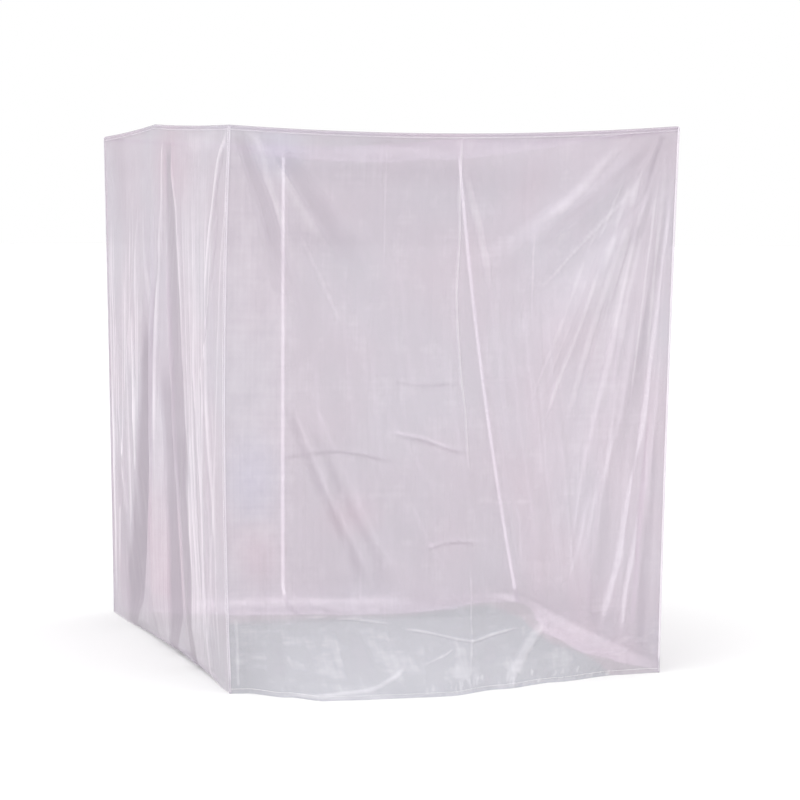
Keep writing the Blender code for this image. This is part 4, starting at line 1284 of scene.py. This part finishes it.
class CANOPY_OT_add_walls(bpy.types.Operator):
    """Hang the five sheets of the walls"""

    bl_idname = "canopy.add_walls"
    bl_label = "Add Walls"

    def execute(self, context):
        sizes, looks = context.scene.canopy_sizes, context.scene.canopy_looks
        for wall in WALLS:
            piece = sheet_from_grid(
                "net_" + wall.node, wall.columns, wall.rows,
                lambda across, down, wall=wall: wall_surface(sizes, wall, across, row_depths(down)),
                FLAT_CUTS[wall.node], net_material(looks, sizes, wall.node),
                rose=lambda across, down, wall=wall: patch_tint(wall, across, row_depths(down)),
                # low carries the painted grey shade near the floor
                low=lambda across, down, wall=wall: painted_floor_shade(wall, across, row_depths(down)),
            )
            settle(piece, wall.node)
        return {"FINISHED"}


class CANOPY_OT_add_roof(bpy.types.Operator):
    """Stretch the sagging roof between the walls"""

    bl_idname = "canopy.add_roof"
    bl_label = "Add Roof"

    def execute(self, context):
        sizes, looks = context.scene.canopy_sizes, context.scene.canopy_looks
        piece = sheet_from_grid(
            "net_roof", ROOF_GRID, ROOF_GRID, lambda across, down: roof_surface(sizes, across, 1 - down),
            FLAT_CUTS["roof"], net_material(looks, sizes, "roof"),
        )
        settle(piece, "roof")
        return {"FINISHED"}


def draw_painted_net_shadow(tree, given, made):
    """White beside the net and darkened with painted shadow behind it, where the camera looks through one
    layer or more.
    """
    one = math_node(tree, "MULTIPLY", math_node(tree, "GREATER_THAN", given["Layers"], 0.5),
                    math_node(tree, "SUBTRACT", 1.0, given["One"]))
    two = math_node(tree, "MULTIPLY", math_node(tree, "GREATER_THAN", given["Layers"], 1.5),
                    math_node(tree, "SUBTRACT", given["One"], given["Two"]))
    painted_shadow = math_node(tree, "MULTIPLY", math_node(tree, "ADD", one, two), given["Seen"])
    tree.links.new(math_node(tree, "SUBTRACT", 1.0, painted_shadow), made["Tone"])


def painted_net_shadow_tone(tree, stage):
    """(tone of the stage under the net's painted shadow, whether the camera sees it), as in a cut-out picture
    of the net.
    """
    inputs = [(name, VALUE) for name in ("Layers", "Seen", "One", "Two")]
    group = shared_group("Cut-out surroundings", draw_painted_net_shadow, inputs, (("Tone", VALUE),))
    painted_shadow_tone = placed_group(tree, group, One=stage.painted_shadow_tone_one, Two=stage.painted_shadow_tone_two)
    path = tree.nodes.new("ShaderNodeLightPath")
    tree.links.new(path.outputs["Transparent Depth"], painted_shadow_tone.inputs["Layers"])
    tree.links.new(path.outputs["Is Camera Ray"], painted_shadow_tone.inputs["Seen"])
    return painted_shadow_tone.outputs["Tone"], path.outputs["Is Camera Ray"]


def world_light(stage):
    """A plain backdrop for the camera, darkened with painted shadow where it is seen through the net, and for
    the cloth a soft dome that is brightest overhead.
    """
    world = bpy.data.worlds.new("studio")
    world.use_nodes = True
    tree = world.node_tree
    dome, backdrop = tree.nodes["Background"], tree.nodes.new("ShaderNodeBackground")
    place = tree.nodes.new("ShaderNodeTexCoord")
    split = tree.nodes.new("ShaderNodeSeparateXYZ")
    sky = {"To Min": HORIZON_SHARE * stage.sky, "To Max": stage.sky}
    rise = filled(tree.nodes.new("ShaderNodeMapRange"), sky)
    choose = tree.nodes.new("ShaderNodeMixShader")
    painted_shadow_tone, seen = painted_net_shadow_tone(tree, stage)
    for plain in (dome, backdrop):
        plain.inputs["Color"].default_value = (1.0, 1.0, 1.0, 1.0)
    for source, target in (
        (place.outputs["Generated"], split.inputs[0]),
        (split.outputs["Z"], rise.inputs["Value"]),
        (rise.outputs["Result"], dome.inputs["Strength"]),
        (math_node(tree, "MULTIPLY", painted_shadow_tone, stage.backdrop), backdrop.inputs["Strength"]),
        (seen, choose.inputs[0]),
        (dome.outputs[0], choose.inputs[1]),
        (backdrop.outputs[0], choose.inputs[2]),
        (choose.outputs[0], tree.nodes["World Output"].inputs["Surface"]),
    ):
        tree.links.new(source, target)
    bpy.context.scene.world = world


def add_floor(stage):
    """A plain round floor, darkened with painted shadow where the camera sees it through the net."""
    mesh = bpy.data.meshes.new("floor")
    disc = bmesh.new()
    bmesh.ops.create_circle(disc, cap_ends=True, segments=FLOOR_SIDES, radius=FLOOR_RADIUS)
    disc.to_mesh(mesh)
    disc.free()
    matt = {"Roughness": 1.0, "Specular IOR Level": 0.0}
    material, tree, shader = principled_material("floor_paint", matt)
    painted_shadow_tone, _ = painted_net_shadow_tone(tree, stage)
    colour = mixed(tree, painted_shadow_tone, (0.0, 0.0, 0.0, 1.0), (*stage.floor_colour, 1))
    tree.links.new(colour, shader.inputs["Base Color"])
    mesh.materials.append(material)
    placed("floor", mesh)


def add_sun(name, azimuth, elevation, spread, strength):
    """A soft light from a direction."""
    light = bpy.data.lights.new(name, "SUN")
    light.energy = strength
    light.angle = math.radians(spread)
    turn, lift = math.radians(azimuth), math.radians(elevation)
    from_there = Vector((-math.sin(turn) * math.cos(lift), -math.cos(turn) * math.cos(lift), math.sin(lift)))
    placed(name, light).rotation_euler = from_there.to_track_quat("Z", "Y").to_euler()


def add_camera():
    """The camera at the photograph's viewing angle."""
    data = bpy.data.cameras.new("camera")
    data.sensor_width = SENSOR
    data.sensor_fit = "HORIZONTAL"
    data.lens = FOCAL_PIXELS * SENSOR / PICTURE_SIDE
    data.clip_end = CAMERA_REACH
    forward = Vector((
        math.sin(CAMERA_YAW) * math.cos(CAMERA_PITCH),
        math.cos(CAMERA_YAW) * math.cos(CAMERA_PITCH),
        -math.sin(CAMERA_PITCH),
    ))
    level = Vector((math.cos(CAMERA_YAW), -math.sin(CAMERA_YAW), 0.0))
    above = level.cross(forward)
    right = level * math.cos(CAMERA_ROLL) + above * math.sin(CAMERA_ROLL)
    up = above * math.cos(CAMERA_ROLL) - level * math.sin(CAMERA_ROLL)
    turned = Matrix((right, up, -forward)).transposed()
    camera = placed("camera", data)
    camera.matrix_world = Matrix.Translation(CAMERA_AT) @ turned.to_4x4()
    bpy.context.scene.camera = camera


class CANOPY_OT_set_stage(bpy.types.Operator):
    """Lay the floor and set the light and the camera"""

    bl_idname = "canopy.set_stage"
    bl_label = "Set Stage"

    def execute(self, context):
        stage = context.scene.canopy_stage
        context.scene.view_settings.view_transform = "Standard"
        world_light(stage)
        add_floor(stage)
        for name, (azimuth, elevation, spread, setting) in SUNS.items():
            add_sun(name, azimuth, elevation, spread, getattr(stage, setting))
        add_camera()
        return {"FINISHED"}


class CANOPY_PT_panel(bpy.types.Panel):
    """Lists the steps that dress the canopy, and their settings"""

    bl_idname = "CANOPY_PT_panel"
    bl_label = "Net Canopy"
    bl_space_type = "VIEW_3D"
    bl_region_type = "UI"
    bl_category = "Net Canopy"

    def draw(self, context):
        for group in SETTINGS:
            settings, box = getattr(context.scene, group), self.layout.box()
            for name in settings.__annotations__:
                box.prop(settings, name)
        for step in STEPS:
            self.layout.operator(step.bl_idname)


STEPS = (
    CANOPY_OT_add_seams,
    CANOPY_OT_add_binding,
    CANOPY_OT_add_stitches,
    CANOPY_OT_add_walls,
    CANOPY_OT_add_roof,
    CANOPY_OT_set_stage,
)
SETTINGS = {"canopy_sizes": CanopySizes, "canopy_looks": CanopyLooks, "canopy_stage": CanopyStage}
CLASSES = (*SETTINGS.values(), *STEPS, CANOPY_PT_panel)


def register():
    for kind in CLASSES:
        bpy.utils.register_class(kind)
    for name, kind in SETTINGS.items():
        setattr(bpy.types.Scene, name, bpy.props.PointerProperty(type=kind))


def unregister():
    for name in SETTINGS:
        delattr(bpy.types.Scene, name)
    for kind in reversed(CLASSES):
        bpy.utils.unregister_class(kind)


def main():
    register()
    bpy.ops.canopy.add_seams()
    bpy.ops.canopy.add_binding()
    bpy.ops.canopy.add_stitches()
    bpy.ops.canopy.add_walls()
    bpy.ops.canopy.add_roof()
    bpy.ops.canopy.set_stage()


if __name__ == "__main__":
    main()
